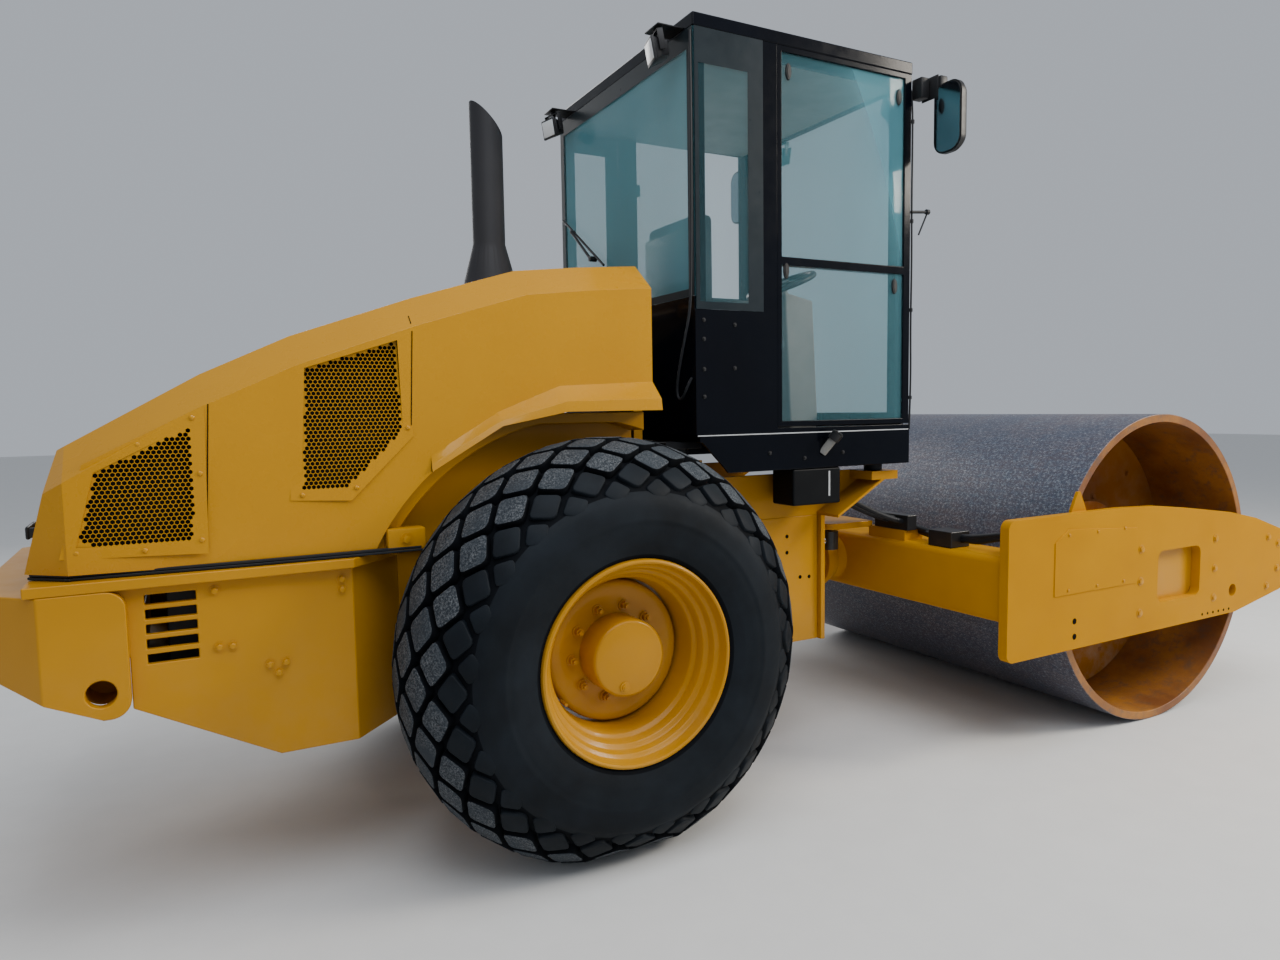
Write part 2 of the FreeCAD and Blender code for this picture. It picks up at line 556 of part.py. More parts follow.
def round_corners(body, pad, plane, corners, radius):
    """Rounds the pad's edges that stand on the given corners of its outline."""
    fixed = {"XZ": (0, 2), "XY": (0, 1), "YZ": (1, 2)}[plane]
    spots = [(value(a), value(b)) for a, b in corners]
    names = []
    for index, edge in enumerate(pad.Shape.Edges, start=1):
        ends = [vertex.Point for vertex in edge.Vertexes]
        for spot in spots:
            if all(abs(p[fixed[0]] - spot[0]) + abs(p[fixed[1]] - spot[1]) < 0.01 for p in ends):
                names.append(f"Edge{index}")
    fillet = body.newObject("PartDesign::Fillet", f"{body.Name}_round")
    fillet.Base = (pad, names)
    bind(fillet, "Radius", radius)
    body.Tip = fillet


def turned(name, points, centre):
    """Outline of radius and place along Y, turned about an axis along Y."""
    body, sketch = new_body(name, "XY_Plane", points, "0")
    turn = body.newObject("PartDesign::Revolution", f"{name}_turn")
    turn.Profile = sketch
    turn.ReferenceAxis = (sketch, ["V_Axis"])
    turn.Angle = 360
    bind(body, "Placement.Base.x", along(centre[0]))
    bind(body, "Placement.Base.z", centre[1])
    return body


def fuse(name, pieces):
    item = doc.addObject("Part::MultiFuse", name)
    item.Shapes = pieces
    return item


def cut(name, base, tools):
    item = doc.addObject("Part::Cut", name)
    item.Base = base
    item.Tool = tools[0] if len(tools) == 1 else fuse(f"{name}_tools", tools)
    return item


def common(name, first, second):
    item = doc.addObject("Part::Common", name)
    item.Base = first
    item.Tool = second
    return item


def group(name, pieces):
    """Like pieces that don't touch, kept in one sub-part."""
    item = doc.addObject("Part::Compound", name)
    item.Links = pieces
    return item


def mirrored(name, source):
    """The same piece on the other side of the machine."""
    item = doc.addObject("Part::Mirroring", name)
    item.Source = source
    item.Normal = FreeCAD.Vector(0, 1, 0)
    return item


def both(name, right):
    return group(name, [right, mirrored(f"{name}_left", right)])


def wide(half):
    return (flip(half), half)


NODES = {}


def node(name, item):
    item.Label = name
    NODES[name] = item
    return item


# Rear frame
def belly(name, inset, side):
    """Side view of the engine bay; inset moves its walls inward."""
    return plate(name, "XZ", [
        (f"frame_back + {inset}", f"frame_notch + {inset}"),
        (f"frame_step + {inset}", f"frame_notch + {inset}"),
        (f"frame_step + {inset}", f"slope_high + {inset}"),
        ("slope_front", f"frame_low + {inset}"),
        (f"bay_front + {inset}", f"frame_low + {inset}"),
        (f"bay_front + {inset}", f"frame_top + {inset}"),
        (f"frame_back + {inset}", f"frame_top + {inset}"),
    ], wide(side))


def waist(half_wide, half_neck):
    """Plan of the frame where it narrows from the engine bay to the tyres."""
    return [
        ("bay_front", flip(half_wide)),
        ("neck_back", flip(half_neck)),
        ("neck_back", half_neck),
        ("bay_front", half_wide),
    ]


tub = cut("bay_tub", belly("bay_outside", "0", "frame_half"),
          [belly("bay_inside", "frame_plate", "frame_half - frame_plate")])
throat = cut(
    "bay_throat",
    plate("throat_outside", "XY", waist("frame_half", "neck_half"), ("frame_low", "frame_top")),
    [plate("throat_inside", "XY", waist("frame_half - frame_plate", "neck_half - frame_plate"),
           ("frame_low + frame_plate", "frame_top + frame_plate"))])


def ledge_plan(back, grow):
    return [
        (back, f"-(frame_half + {grow})"),
        ("bay_front", f"-(frame_half + {grow})"),
        ("neck_back", f"-(neck_half + {grow})"),
        ("neck_back", f"neck_half + {grow}"),
        ("bay_front", f"frame_half + {grow}"),
        (back, f"frame_half + {grow}"),
    ]


ledge_z = ("frame_top", "frame_top + ledge_tall")
flange = cut(
    "bay_flange",
    plate("flange_outside", "XY", ledge_plan("ledge_back", "ledge"), ledge_z),
    [plate("flange_inside", "XY", ledge_plan("ledge_back + ledge_in", "(-ledge_in)"), ledge_z)])
slots = []
for slot in range(5):
    slot_z = f"slot_first - {slot} * slot_pitch"
    slots.append(box(f"air_slot_{slot + 1}", ("slot_back", "slot_back + slot_long"),
                     wide("frame_half + ledge"),
                     (f"{slot_z} - slot_tall / 2", f"{slot_z} + slot_tall / 2")))
node("rear_frame", cut("rear_frame", fuse("bay_shell", [tub, throat, flange]), slots))

# Front frame, an open channel between the tyres and the hitch


def backbone(name, inset, side):
    return plate(name, "XZ", [
        (f"neck_back - {inset}", f"frame_low + {inset}"),
        (f"-(arch_foot + {inset})", f"frame_low + {inset}"),
        (f"-(arch_half + {inset} / 2)", f"arch_z + {inset}"),
        (f"arch_half + {inset} / 2", f"arch_z + {inset}"),
        (f"arch_foot + {inset}", f"frame_low + {inset}"),
        (f"frame_front - frame_plate + {inset}", f"frame_low + {inset}"),
        (f"frame_front - frame_plate + {inset}", f"frame_top + {inset}"),
        (f"neck_back - {inset}", f"frame_top + {inset}"),
    ], wide(side))


spine = cut("spine", backbone("spine_outside", "0", "neck_half"),
            [backbone("spine_inside", "frame_plate", "neck_half - frame_plate")])
node("front_frame", spine)

# Front plate with the ports of the steering cylinders, and the deck sides that carry the cab
port = box("steering_port", ("frame_front - 2 * frame_plate", "frame_front + 2 * frame_plate"),
           ("-(arm_half + 1.6 * ear_r)", "-(arm_half - 2.6 * ear_r)"),
           ("cylinder_z - barrel_r - 2 * move_gap", "arm_low + arm_plate + 4 * move_gap"))
node("front_plate", cut("front_plate", box("front_face", ("frame_front - frame_plate", "frame_front"),
                                           wide("face_half"), ("frame_low", "face_top")),
                        [port, mirrored("steering_port_left", port)]))
deck_web = plate("deck_web", "XZ", [
    ("deck_back", "frame_top"),
    ("deck_front", "frame_top"),
    ("outrigger_front - mount_side", "outrigger_tip"),
    ("outrigger_front", "outrigger_tip"),
    ("outrigger_front", "deck_top"),
    ("deck_back", "deck_top"),
], ("-neck_half", "-(neck_half - frame_plate)"))
gusset = plate("deck_gusset", "XZ", [
    ("deck_front", "frame_top + touch_gap"),
    ("outrigger_front - mount_side", "outrigger_tip"),
    ("outrigger_front - mount_side", "outrigger_tip + frame_plate / 2"),
    ("deck_front", "frame_top + frame_plate / 2 + touch_gap"),
], ("-outrigger_half", "-neck_half"))
outrigger = box("outrigger", ("outrigger_front - 2 * mount_side", "outrigger_front"),
                ("-outrigger_half", "-neck_half"), ("outrigger_tip", "deck_top"))
front_rubber = cylinder("front_rubber", "Z",
                        ("outrigger_front - mount_side", "-(outrigger_half - mount_side)"),
                        ("deck_top", "cab_floor - floor_plate - mount_pad"), "mount_rubber_r")
front_pad = box("front_pad", ("outrigger_front - 1.7 * mount_side", "outrigger_front - 0.3 * mount_side"),
                ("-(outrigger_half - 0.2 * mount_side)", "-(outrigger_half - 1.8 * mount_side)"),
                ("cab_floor - floor_plate - mount_pad", "cab_floor - floor_plate"))
rear_tower = box("rear_tower", ("mount_back", "mount_front"), ("-mount_out", "-mount_in"),
                 ("frame_top", "mount_shelf"))
rear_rubber = cylinder("rear_rubber", "Z",
                       ("(mount_back + mount_front) / 2", "-(mount_out + mount_in) / 2"),
                       ("mount_shelf", "cab_floor - floor_plate - mount_pad"), "mount_rubber_r")
rear_pad = box("rear_pad", ("mount_back", "mount_front"), ("-mount_out", "-mount_in"),
               ("cab_floor - floor_plate - mount_pad", "cab_floor - floor_plate"))

# Posts and pin of the hood hinge
hinge_post = box("hinge_post", ("hood_hinge_x - hinge_post / 2", "hood_hinge_x + hinge_post / 2"),
                 ("-neck_half", "-(neck_half - frame_plate)"),
                 ("frame_top", "hood_hinge_z + hinge_post / 2"))
hinge_pin = cylinder("hood_hinge_pin", "Y", ("hood_hinge_x", "hood_hinge_z"),
                     wide("neck_half - frame_plate / 2"), "hood_pin_r")

deck_side = fuse("deck_side", [deck_web, gusset, outrigger, rear_tower, hinge_post])
node("cab_deck", fuse("cab_deck", [deck_side, mirrored("deck_side_left", deck_side), hinge_pin]))
mount_side_set = group("mount_side_set", [
    fuse("front_mount", [front_rubber, front_pad]),
    fuse("rear_mount", [rear_rubber, rear_pad]),
])
node("cab_mounts", both("cab_mounts", mount_side_set))

# Anchors of the steering cylinders on the frame's side plates
anchor = box("anchor_plate", ("anchor_x - eye_r", "anchor_x + eye_r"),
             ("-(neck_half - frame_plate)", "-(anchor_half - eye_r)"),
             ("cylinder_z - eye_tall / 2 - touch_gap - frame_plate",
              "cylinder_z - eye_tall / 2 - touch_gap"))
anchor_pin = cylinder("anchor_pin", "Z", ("anchor_x", "-anchor_half"),
                      ("cylinder_z - eye_tall / 2 - frame_plate", "cylinder_z + eye_tall / 2 + 10"),
                      "small_pin_r")
node("cylinder_anchors", both("cylinder_anchors", fuse("cylinder_anchor", [anchor, anchor_pin])))

# Bumper


def bumper_plan(back, bend, side, tail):
    return [
        ("frame_step", flip(side)),
        (bend, flip(side)),
        (back, flip(tail)),
        (back, tail),
        (bend, side),
        ("frame_step", side),
    ]


bumper_z = ("bumper_low", "bumper_top")
bend_in = "bumper_bend + bumper_plate * 0.42"
tail_in = "bumper_tail - bumper_plate * 0.42"
band = cut(
    "bumper_band",
    plate("bumper_outside", "XY",
          bumper_plan("-rear_reach", "bumper_bend", "frame_half + bumper_plate", "bumper_tail"), bumper_z),
    [plate("bumper_inside", "XY",
           bumper_plan("-rear_reach + bumper_plate", bend_in, "frame_half", tail_in), bumper_z)])
lid = plate("bumper_lid", "XY", [
    ("ledge_back - 2", "-(frame_half - bumper_plate)"),
    ("ledge_back - 2", "frame_half - bumper_plate"),
    ("-rear_reach + bumper_plate", "bumper_tail"),
    ("-rear_reach + bumper_plate", "-bumper_tail"),
], ("bumper_top - frame_plate", "bumper_top"))
cheek_front = [("frame_step", "bumper_low"), ("frame_step", "bumper_top")]
cheek = plate("bumper_cheek", "XZ", cheek_front + [
    ("-rear_reach", "bumper_top"),
    ("-rear_reach", "bumper_rise"),
    ("bumper_rise_from", "bumper_low"),
], wide("frame_half + bumper_plate"), rounded=cheek_front, radius="bumper_corner")
tow = cylinder("tow_bore", "Y", ("tow_x", "tow_z"), wide("frame_half + 2 * bumper_plate"), "tow_r")
node("rear_bumper", cut("rear_bumper",
                        common("bumper_form", fuse("bumper_steel", [band, lid]), cheek), [tow]))

# Engine and radiator
node("engine_block", box("engine", ("engine_back", "engine_front"), wide("engine_half"),
                         ("arch_z + frame_plate", "engine_top")))
slope_ratio = "(slope_high - frame_low) / (slope_front - frame_step - frame_plate)"
radiator_low = (f"frame_low + frame_plate + (slope_front - radiator_back) * {slope_ratio}"
                " + touch_gap")
node("radiator", box("radiator_box", ("radiator_back", "radiator_back + radiator_deep"),
                     wide("radiator_half"), (radiator_low, "radiator_top")))

# Inner fenders
liner_low = "frame_top + ledge_tall"
liner = box("liner_wall", ("liner_back", "liner_front"),
            ("-liner_out", "-(liner_out - liner_plate)"), (liner_low, "liner_top"))
arch_y = ("-liner_arch_out", "-(liner_out - liner_plate)")


def arch_solid(name, grow, span):
    """Space under the arch: a cylinder about the axle with a flat crown."""
    return common(name, cylinder(f"{name}_round", "Y", ("0", "axle_z"), span, f"liner_arch_r + {grow}"),
                  box(f"{name}_crown", ("-2 * liner_arch_r", "2 * liner_arch_r"), span,
                      ("0", f"liner_arch_flat + {grow}")))


arch_band = cut("liner_band", arch_solid("liner_band_outside", "liner_plate", arch_y),
                [arch_solid("liner_band_inside", "0", arch_y)])
skirt_wall = cut("liner_skirt", box("liner_skirt_plate", ("liner_back", "liner_front"),
                                    ("-liner_arch_out", "-(liner_arch_out - liner_plate)"),
                                    (liner_low, "liner_top")),
                 [arch_solid("liner_skirt_arch", "liner_plate / 2", arch_y)])
arch_zone = box("liner_zone", ("liner_back", "liner_front"), arch_y, (liner_low, "liner_top"))
node("inner_fenders", both("inner_fenders", fuse("inner_fender", [
    liner, common("liner_arch", arch_band, arch_zone), skirt_wall])))

# Rear axle
hub_disc_y = "track_half + rim_width / 2 - disc_depth"
axle_pieces = [
    cylinder("axle_tube", "Y", ("0", "axle_z"), wide("gear_case_in"), "axle_tube_r"),
    cylinder("axle_spindle", "Y", ("0", "axle_z"),
             wide(f"{hub_disc_y} + spindle_depth - touch_gap"), "spindle_r"),
]
gear_case = cylinder("gear_case", "Y", ("0", "axle_z"),
                     (f"-({hub_disc_y} - 2 * disc_plate)", "-gear_case_in"), "gear_case_r")
saddle = box("axle_saddle", ("-axle_tube_r", "axle_tube_r"),
             ("-(neck_half - frame_plate)", "-(neck_half - 4 * frame_plate)"), ("axle_z", "arch_z"))
for piece in (gear_case, saddle):
    axle_pieces += [piece, mirrored(f"{piece.Name}_left", piece)]
node("rear_axle", fuse("rear_axle", axle_pieces))

# Wheels
rim_out = "track_half + rim_width / 2"
rim_in = "track_half - rim_width / 2"
rim_core = "rim_seat_r - rim_plate"
rim_outline = [
    ("rim_flange_r", rim_out),
    ("rim_flange_r", f"{rim_out} - rim_plate"),
    ("rim_seat_r", f"{rim_out} - rim_plate"),
    ("rim_seat_r", f"{rim_in} + rim_plate"),
    ("rim_flange_r", f"{rim_in} + rim_plate"),
    ("rim_flange_r", rim_in),
    (rim_core, rim_in),
    (rim_core, f"{hub_disc_y} - disc_plate"),
    ("spindle_r + run_gap", f"{hub_disc_y} - disc_plate"),
    ("spindle_r + run_gap", f"{hub_disc_y} + spindle_depth"),
    ("0", f"{hub_disc_y} + spindle_depth"),
    ("0", f"{hub_disc_y} + hub_reach"),
    ("hub_r", f"{hub_disc_y} + hub_reach"),
    ("hub_r", hub_disc_y),
    (rim_core, hub_disc_y),
    (rim_core, rim_out),
]
wall = "tyre_width / 2"
bead = "rim_width / 2 - rim_plate - touch_gap"
seat = "rim_seat_r + touch_gap"
# Half section of the tyre from bead to tread: radius, distance from the tyre's centre plane.
# The crown is half an ellipse, taken at shares of the tyre's half width.
CROWN_SHARES = ("1", "0.94", "0.84", "0.7", "0.5", "0.25", "0.08")
BELT_SHARE = "0.4"


def crown(share):
    return (f"tyre_r - crown_deep * (1 - sqrt(1 - ({share})^2))", f"{wall} * {share}")


tyre_half = [
    (seat, bead),
    ("rim_flange_r + bead_lip", bead),
    ("rim_flange_r + bead_side", f"{wall} - bead_in"),
    ("rim_flange_r + side_foot", wall),
] + [crown(share) for share in CROWN_SHARES]
tyre_inside = [
    ("tyre_r - tread_thick", f"{wall} * {BELT_SHARE}"),
    ("tyre_r - tread_thick - belt_drop", f"{wall} - belt_drop - tyre_wall"),
    ("rim_flange_r + side_foot + bead_side", f"{wall} - tyre_wall"),
    ("rim_flange_r + bead_side", f"{bead} - tyre_wall"),
    (seat, f"{bead} - tyre_wall"),
]
tyre_outline = [(r, f"track_half + {y}") for r, y in tyre_half]
tyre_outline += [(r, f"track_half - ({y})") for r, y in reversed(tyre_half)]
tyre_outline += [(r, f"track_half - ({y})") for r, y in reversed(tyre_inside)]
tyre_outline += [(r, f"track_half + ({y})") for r, y in tyre_inside]
rim_left = node("rim_left", turned("rim_left", rim_outline, ("0", "axle_z")))
node("rim_right", mirrored("rim_right", rim_left))
ground = box("ground", ("-tyre_r", "tyre_r"), wide("track_half + tyre_width"), ("-tyre_r", "0"))
tyre_left = node("tyre_left", cut("tyre_left", turned("tyre_round", tyre_outline, ("0", "axle_z")),
                                  [ground]))
node("tyre_right", mirrored("tyre_right", tyre_left))

# Hitch fork on the frame


def fork_lug(name, low, high):
    return fuse(name, [
        box(f"{name}_bar", ("frame_front", "pivot_x"), wide("boss_r"), (low, high)),
        cylinder(f"{name}_end", "Z", ("pivot_x", "0"), (low, high), "boss_r"),
    ])


node("hitch_fork", fuse("hitch_fork", [
    fork_lug("fork_low", "lug_low", "lug_low + lug_plate"),
    fork_lug("fork_high", "lug_high - lug_plate", "lug_high"),
    cylinder("fork_pin", "Z", ("pivot_x", "0"), ("lug_low - 10", "lug_high + 10"), "pin_r"),
]))

# Hitch block: upright boss, oscillation housing and the steering plate on top
arm_z = ("arm_low", "arm_low + arm_plate")
hitch_steel = fuse("hitch_steel", [
    cylinder("hitch_boss", "Z", ("pivot_x", "0"),
             ("lug_low + lug_plate + 2", "lug_high - lug_plate - 2"), "boss_r"),
    cylinder("hitch_housing", "X", ("0", "swing_z"), ("pivot_x", "housing_front"), "housing_r"),
    cylinder("hitch_collar", "X", ("0", "swing_z"), ("collar_back", "collar_back + collar_wide"),
             "collar_r"),
    box("hitch_web", ("collar_back", "housing_front - 2 * move_gap"), wide("web_half"),
        ("swing_z", "arm_low")),
])
node("hitch_block", cut("hitch_block", hitch_steel, [
    cylinder("pin_bore", "Z", ("pivot_x", "0"), ("lug_low", "lug_high"), "pin_r + run_gap"),
    cylinder("trunnion_bore", "X", ("0", "swing_z"), ("pivot_x + boss_r", "housing_front"),
             "trunnion_r + run_gap"),
]))
arm_reach = "arm_half + ear_r"
arm_ear = cylinder("arm_ear", "Z", ("pivot_x", "-arm_half"), arm_z, "ear_r")
node("steering_plate", fuse("steering_plate", [
    box("arm_table", ("pivot_x", "beam_back - 4 * move_gap"), wide(arm_reach), arm_z),
    arm_ear,
    mirrored("arm_ear_left", arm_ear),
]))

# Steering cylinders, laid out along X and turned into place about the anchor pin
steer_run = "arm_half - anchor_half"
ram_yaw = f"atan(({steer_run}) / (pivot_x - anchor_x)) / 1 deg"
ram_span = f"sqrt((pivot_x - anchor_x) ^ 2 + ({steer_run}) ^ 2)"


def aim(item):
    """Turns a piece drawn along +X from the anchor pin towards the steering arm."""
    item.Placement.Rotation = FreeCAD.Rotation(FreeCAD.Vector(0, 0, -1), 0)
    bind(item, "Placement.Rotation.Angle", ram_yaw)
    bind(item, "Placement.Rotation.Axis.z", "-1")
    bind(item, "Placement.Base.x", along("anchor_x"))
    bind(item, "Placement.Base.y", "-anchor_half")
    bind(item, "Placement.Base.z", "cylinder_z")
    return item


def eye(name, reach):
    ring = doc.addObject("Part::Cylinder", f"{name}_ring")
    bore = doc.addObject("Part::Cylinder", f"{name}_bore")
    for item, radius in ((ring, "eye_r"), (bore, "small_pin_r + run_gap")):
        bind(item, "Radius", radius)
        bind(item, "Height", "eye_tall")
        bind(item, "Placement.Base.x", reach)
        bind(item, "Placement.Base.z", "-eye_tall / 2")
    return ring, bore


def bar(name, start, end, radius):
    item = doc.addObject("Part::Cylinder", name)
    item.Placement.Rotation = TURN["X"]
    bind(item, "Placement.Base.x", start)
    bind(item, "Radius", radius)
    bind(item, "Height", f"({end}) - ({start})")
    return item


barrel_ring, barrel_hole = eye("barrel_eye", "0")
barrel = cut("barrel_body",
             fuse("barrel_steel", [bar("barrel_tube", "small_pin_r + 10", "barrel_end", "barrel_r"),
                                   barrel_ring]),
             [bar("barrel_bore", "barrel_bore_from", "barrel_end", "ram_r + run_gap"), barrel_hole])
ram_ring, ram_hole = eye("ram_eye", ram_span)
ram = cut("ram_steel",
          fuse("ram_solid", [bar("ram_bar", f"{ram_span} - ram_long", ram_span, "ram_r"), ram_ring]),
          [ram_hole])


def placed(name, source):
    """The source shape, aimed from the anchor pin to the steering arm."""
    item = doc.addObject("Part::Compound", name)
    item.Links = [source]
    return aim(item)


barrel_right = node("steering_barrel_right", placed("steering_barrel_right", barrel))
node("steering_barrel_left", mirrored("steering_barrel_left", barrel_right))
rod_right = node("steering_rod_right", placed("steering_rod_right", ram))
node("steering_rod_left", mirrored("steering_rod_left", rod_right))

# Yoke
plate_out = "yoke_half - cover_plate"
plate_in = "yoke_half - cover_plate - yoke_plate"
yoke_front = "wheelbase + front_reach"
tail_low, tail_high = ("yoke_back", "yoke_low"), ("yoke_back", "yoke_high")
tip_low, tip_high = (yoke_front, "yoke_low + cheek_tip_rise"), (yoke_front, "yoke_high - cheek_tip_drop")
bends = [(f"wheelbase + cheek_{bend}_x", f"yoke_high - cheek_{bend}_drop") for bend in "abcde"]
cheek_rise = ("wheelbase + cheek_low_x", "yoke_low + cheek_low_rise")
cheek_plate = plate("yoke_cheek", "XZ", [tail_low, cheek_rise, tip_low, tip_high] + bends + [tail_high],
                    (flip(plate_out), flip(plate_in)),
                    rounded=[tail_low, tip_low, tip_high, tail_high], radius="yoke_corner")
yoke_window = plate("yoke_window", "XZ", [
    ("wheelbase - view_back", "yoke_low + view_rise"),
    ("wheelbase + view_front", "yoke_low + view_rise"),
    ("wheelbase + view_front", "yoke_high - view_drop"),
    ("wheelbase - view_back", "yoke_high - view_drop"),
], (flip("yoke_half"), flip(plate_in)), rounded=EVERY, radius="yoke_corner")
lift_hole = cylinder("lift_hole", "Y", ("wheelbase + lift_hole_x", "yoke_low + lift_hole_rise"),
                     (flip("yoke_half"), flip(plate_in)), "lift_hole_r")
cover = plate("yoke_cover", "XZ", [
    ("yoke_back + cover_back", "yoke_low + cover_rise"),
    ("yoke_back + cover_front", "yoke_low + cover_rise"),
    ("yoke_back + cover_front", "yoke_high - cover_front_drop"),
    ("yoke_back + cover_step", "yoke_high - cover_drop"),
    ("yoke_back + cover_back", "yoke_high - cover_back_drop"),
], (flip("yoke_half"), flip(plate_out)))
tie_back = "wheelbase - tie_reach"
tie_lug = plate("tie_lug", "XZ", [
    (tie_back, "yoke_high - tie_foot"),
    (f"{tie_back} + tie_long", "yoke_high - tie_foot"),
    (f"{tie_back} + tie_long", "yoke_high + tie_shoulder"),
    (f"{tie_back} + (tie_long + tie_tip) / 2", "yoke_high + tie_rise"),
    (f"{tie_back} + (tie_long - tie_tip) / 2", "yoke_high + tie_rise"),
    (tie_back, "yoke_high + tie_shoulder"),
], (flip(plate_in), f"-({plate_in} - tie_plate)"))
yoke_side = cut("yoke_side", fuse("yoke_side_steel", [cheek_plate, cover, tie_lug]),
                [yoke_window, lift_hole])
node("yoke_sides", both("yoke_sides", yoke_side))


def crossbeam(name, back, deep, low, high):
    def section(label, inset, corner):
        return plate(label, "XZ", [
            (f"{back} + {inset}", f"{low} + {inset}"),
            (f"{back} + {deep} - {inset}", f"{low} + {inset}"),
            (f"{back} + {deep} - {inset}", f"{high} - {inset}"),
            (f"{back} + {inset}", f"{high} - {inset}"),
        ], wide(plate_in), rounded=EVERY, radius=corner)
    return cut(name, section(f"{name}_outside", "0", "beam_round"),
               [section(f"{name}_inside", "beam_wall", "beam_round - beam_wall / 2")])


clamp_x = ("beam_back + hose_seat_back", "beam_back + hose_seat_back + hose_seat_long")
seat_top = "beam_high + hose_seat_tall"
node("yoke_rear_beam", fuse("yoke_rear_beam", [
    crossbeam("rear_tube", "beam_back", "beam_deep", "beam_low", "beam_high"),
    box("hose_seat", clamp_x, ("-hose_seat_out", "-hose_seat_in"), ("beam_high - beam_wall / 2", seat_top)),
    cylinder("trunnion", "X", ("0", "swing_z"),
             ("pivot_x + boss_r + move_gap", "beam_back + beam_wall"), "trunnion_r"),
    cylinder("thrust_disc", "X", ("0", "swing_z"), ("housing_front + disc_gap", "beam_back"), "housing_r"),
]))
node("hose_clamps", group("hose_clamps", [
    box("inner_clamp", (clamp_x[0], f"{clamp_x[0]} + hose_clamp_deep"),
        ("-hose_clamp_out", "-hose_clamp_in"), (seat_top, f"{seat_top} + hose_clamp_tall")),
    box("outer_clamp", clamp_x, ("-outer_clamp_out", "-outer_clamp_in"),
        ("beam_high", "beam_high + hose_clamp_tall")),
]))
node("yoke_front_beam", crossbeam("yoke_front_beam", "nose_back", "nose_deep", "nose_low", "nose_high"))

# Drum carriers
head_out = "head_in + head_plate"
hub_in = f"{head_out} + isolator_long"
hub_out = f"{hub_in} + hub_plate"
drum_axis = ("wheelbase", "drum_r")
carrier = fuse("carrier", [
    cylinder("carrier_flange_disc", "Y", drum_axis, (flip(plate_in), f"-({plate_in} - carrier_flange)"),
             "carrier_flange_r"),
    cylinder("carrier_tube", "Y", drum_axis, (flip(plate_in), f"-({hub_out} + carrier_gap)"),
             "carrier_r"),
    cylinder("carrier_journal", "Y", drum_axis, (flip(plate_in), f"-({hub_in} - isolator_long / 2)"),
             "journal_r"),
])
node("drum_carriers", both("drum_carriers", carrier))

# Scrapers
scraper_rise = "sqrt(drum_r ^ 2 - (drum_r - scraper_z) ^ 2) + scraper_gap"
rear_blade = plate("rear_blade", "XZ", [
    ("beam_back + beam_deep", "beam_low + 50"),
    ("beam_back + beam_deep", "beam_low + 20"),
    (f"wheelbase - ({scraper_rise})", "scraper_z - 12"),
    (f"wheelbase - ({scraper_rise})", "scraper_z"),
], wide("scraper_half"))
front_blade = plate("front_blade", "XZ", [
    ("nose_back", "nose_low + 60"),
    ("nose_back", "nose_low + 30"),
    (f"wheelbase + ({scraper_rise})", "scraper_z - 12"),
    (f"wheelbase + ({scraper_rise})", "scraper_z"),
], wide("scraper_half"))
node("scrapers", group("scrapers", [rear_blade, front_blade]))

# Drum
node("drum_shell", turned("drum_shell_ring", [
    ("drum_r", "drum_half"),
    ("drum_r", "-drum_half"),
    ("drum_r - drum_shell", "-drum_half"),
    ("drum_r - drum_shell", "drum_half"),
], drum_axis))
head_half = [
    ("drum_r - drum_shell - touch_gap", "head_in"),
    ("drum_r - drum_shell - touch_gap", head_out),
    ("hub_plate_r", head_out),
]
core = cylinder("exciter_tube", "Y", drum_axis, wide("head_in"), "core_r")
drum_pieces = [core]
head_disc = cylinder("head_disc", "Y", drum_axis, (f"-({head_out})", "-head_in"),
                     "drum_r - drum_shell - touch_gap")
hub_disc = cylinder("hub_disc", "Y", drum_axis, (f"-({hub_out})", f"-({hub_in})"), "hub_plate_r")
hub_bore = cylinder("hub_bore", "Y", drum_axis, (f"-({hub_out})", f"-({hub_in})"),
                    "journal_r + run_gap")
isolators = []
for turn in range(6):
    isolators.append(cylinder(
        f"isolator_{turn + 1}", "Y",
        (f"wheelbase + isolator_ring * cos({60 * turn})", f"drum_r + isolator_ring * sin({60 * turn})"),
        (f"-({hub_in})", f"-({head_out})"), "isolator_r"))
drum_end = fuse("drum_end", [head_disc, cut("hub_ring", hub_disc, [hub_bore])] + isolators)
node("drum_heads", fuse("drum_heads", [core, drum_end, mirrored("drum_end_left", drum_end)]))

# Cab floor and skirt
skirt = plate("skirt_side", "XZ", [
    ("skirt_slant_back", "cab_floor"),
    ("skirt_slant_back", "skirt_slant_high"),
    ("skirt_slant_front", "skirt_slant_low"),
    ("skirt_slant_front + 20", "skirt_low"),
    ("cab_front", "skirt_low"),
    ("cab_front", "cab_floor"),
], ("-cab_half", "-(cab_half - skirt_plate)"))
node("cab_base", fuse("cab_base", [
    box("cab_floor_plate", ("skirt_slant_back", "cab_front"), wide("cab_half"),
        ("cab_floor - floor_plate", "cab_floor")),
    skirt,
    mirrored("skirt_side_left", skirt),
    box("skirt_front", ("cab_front - skirt_plate", "cab_front"), wide("cab_half"),
        ("skirt_low", "cab_floor")),
]))

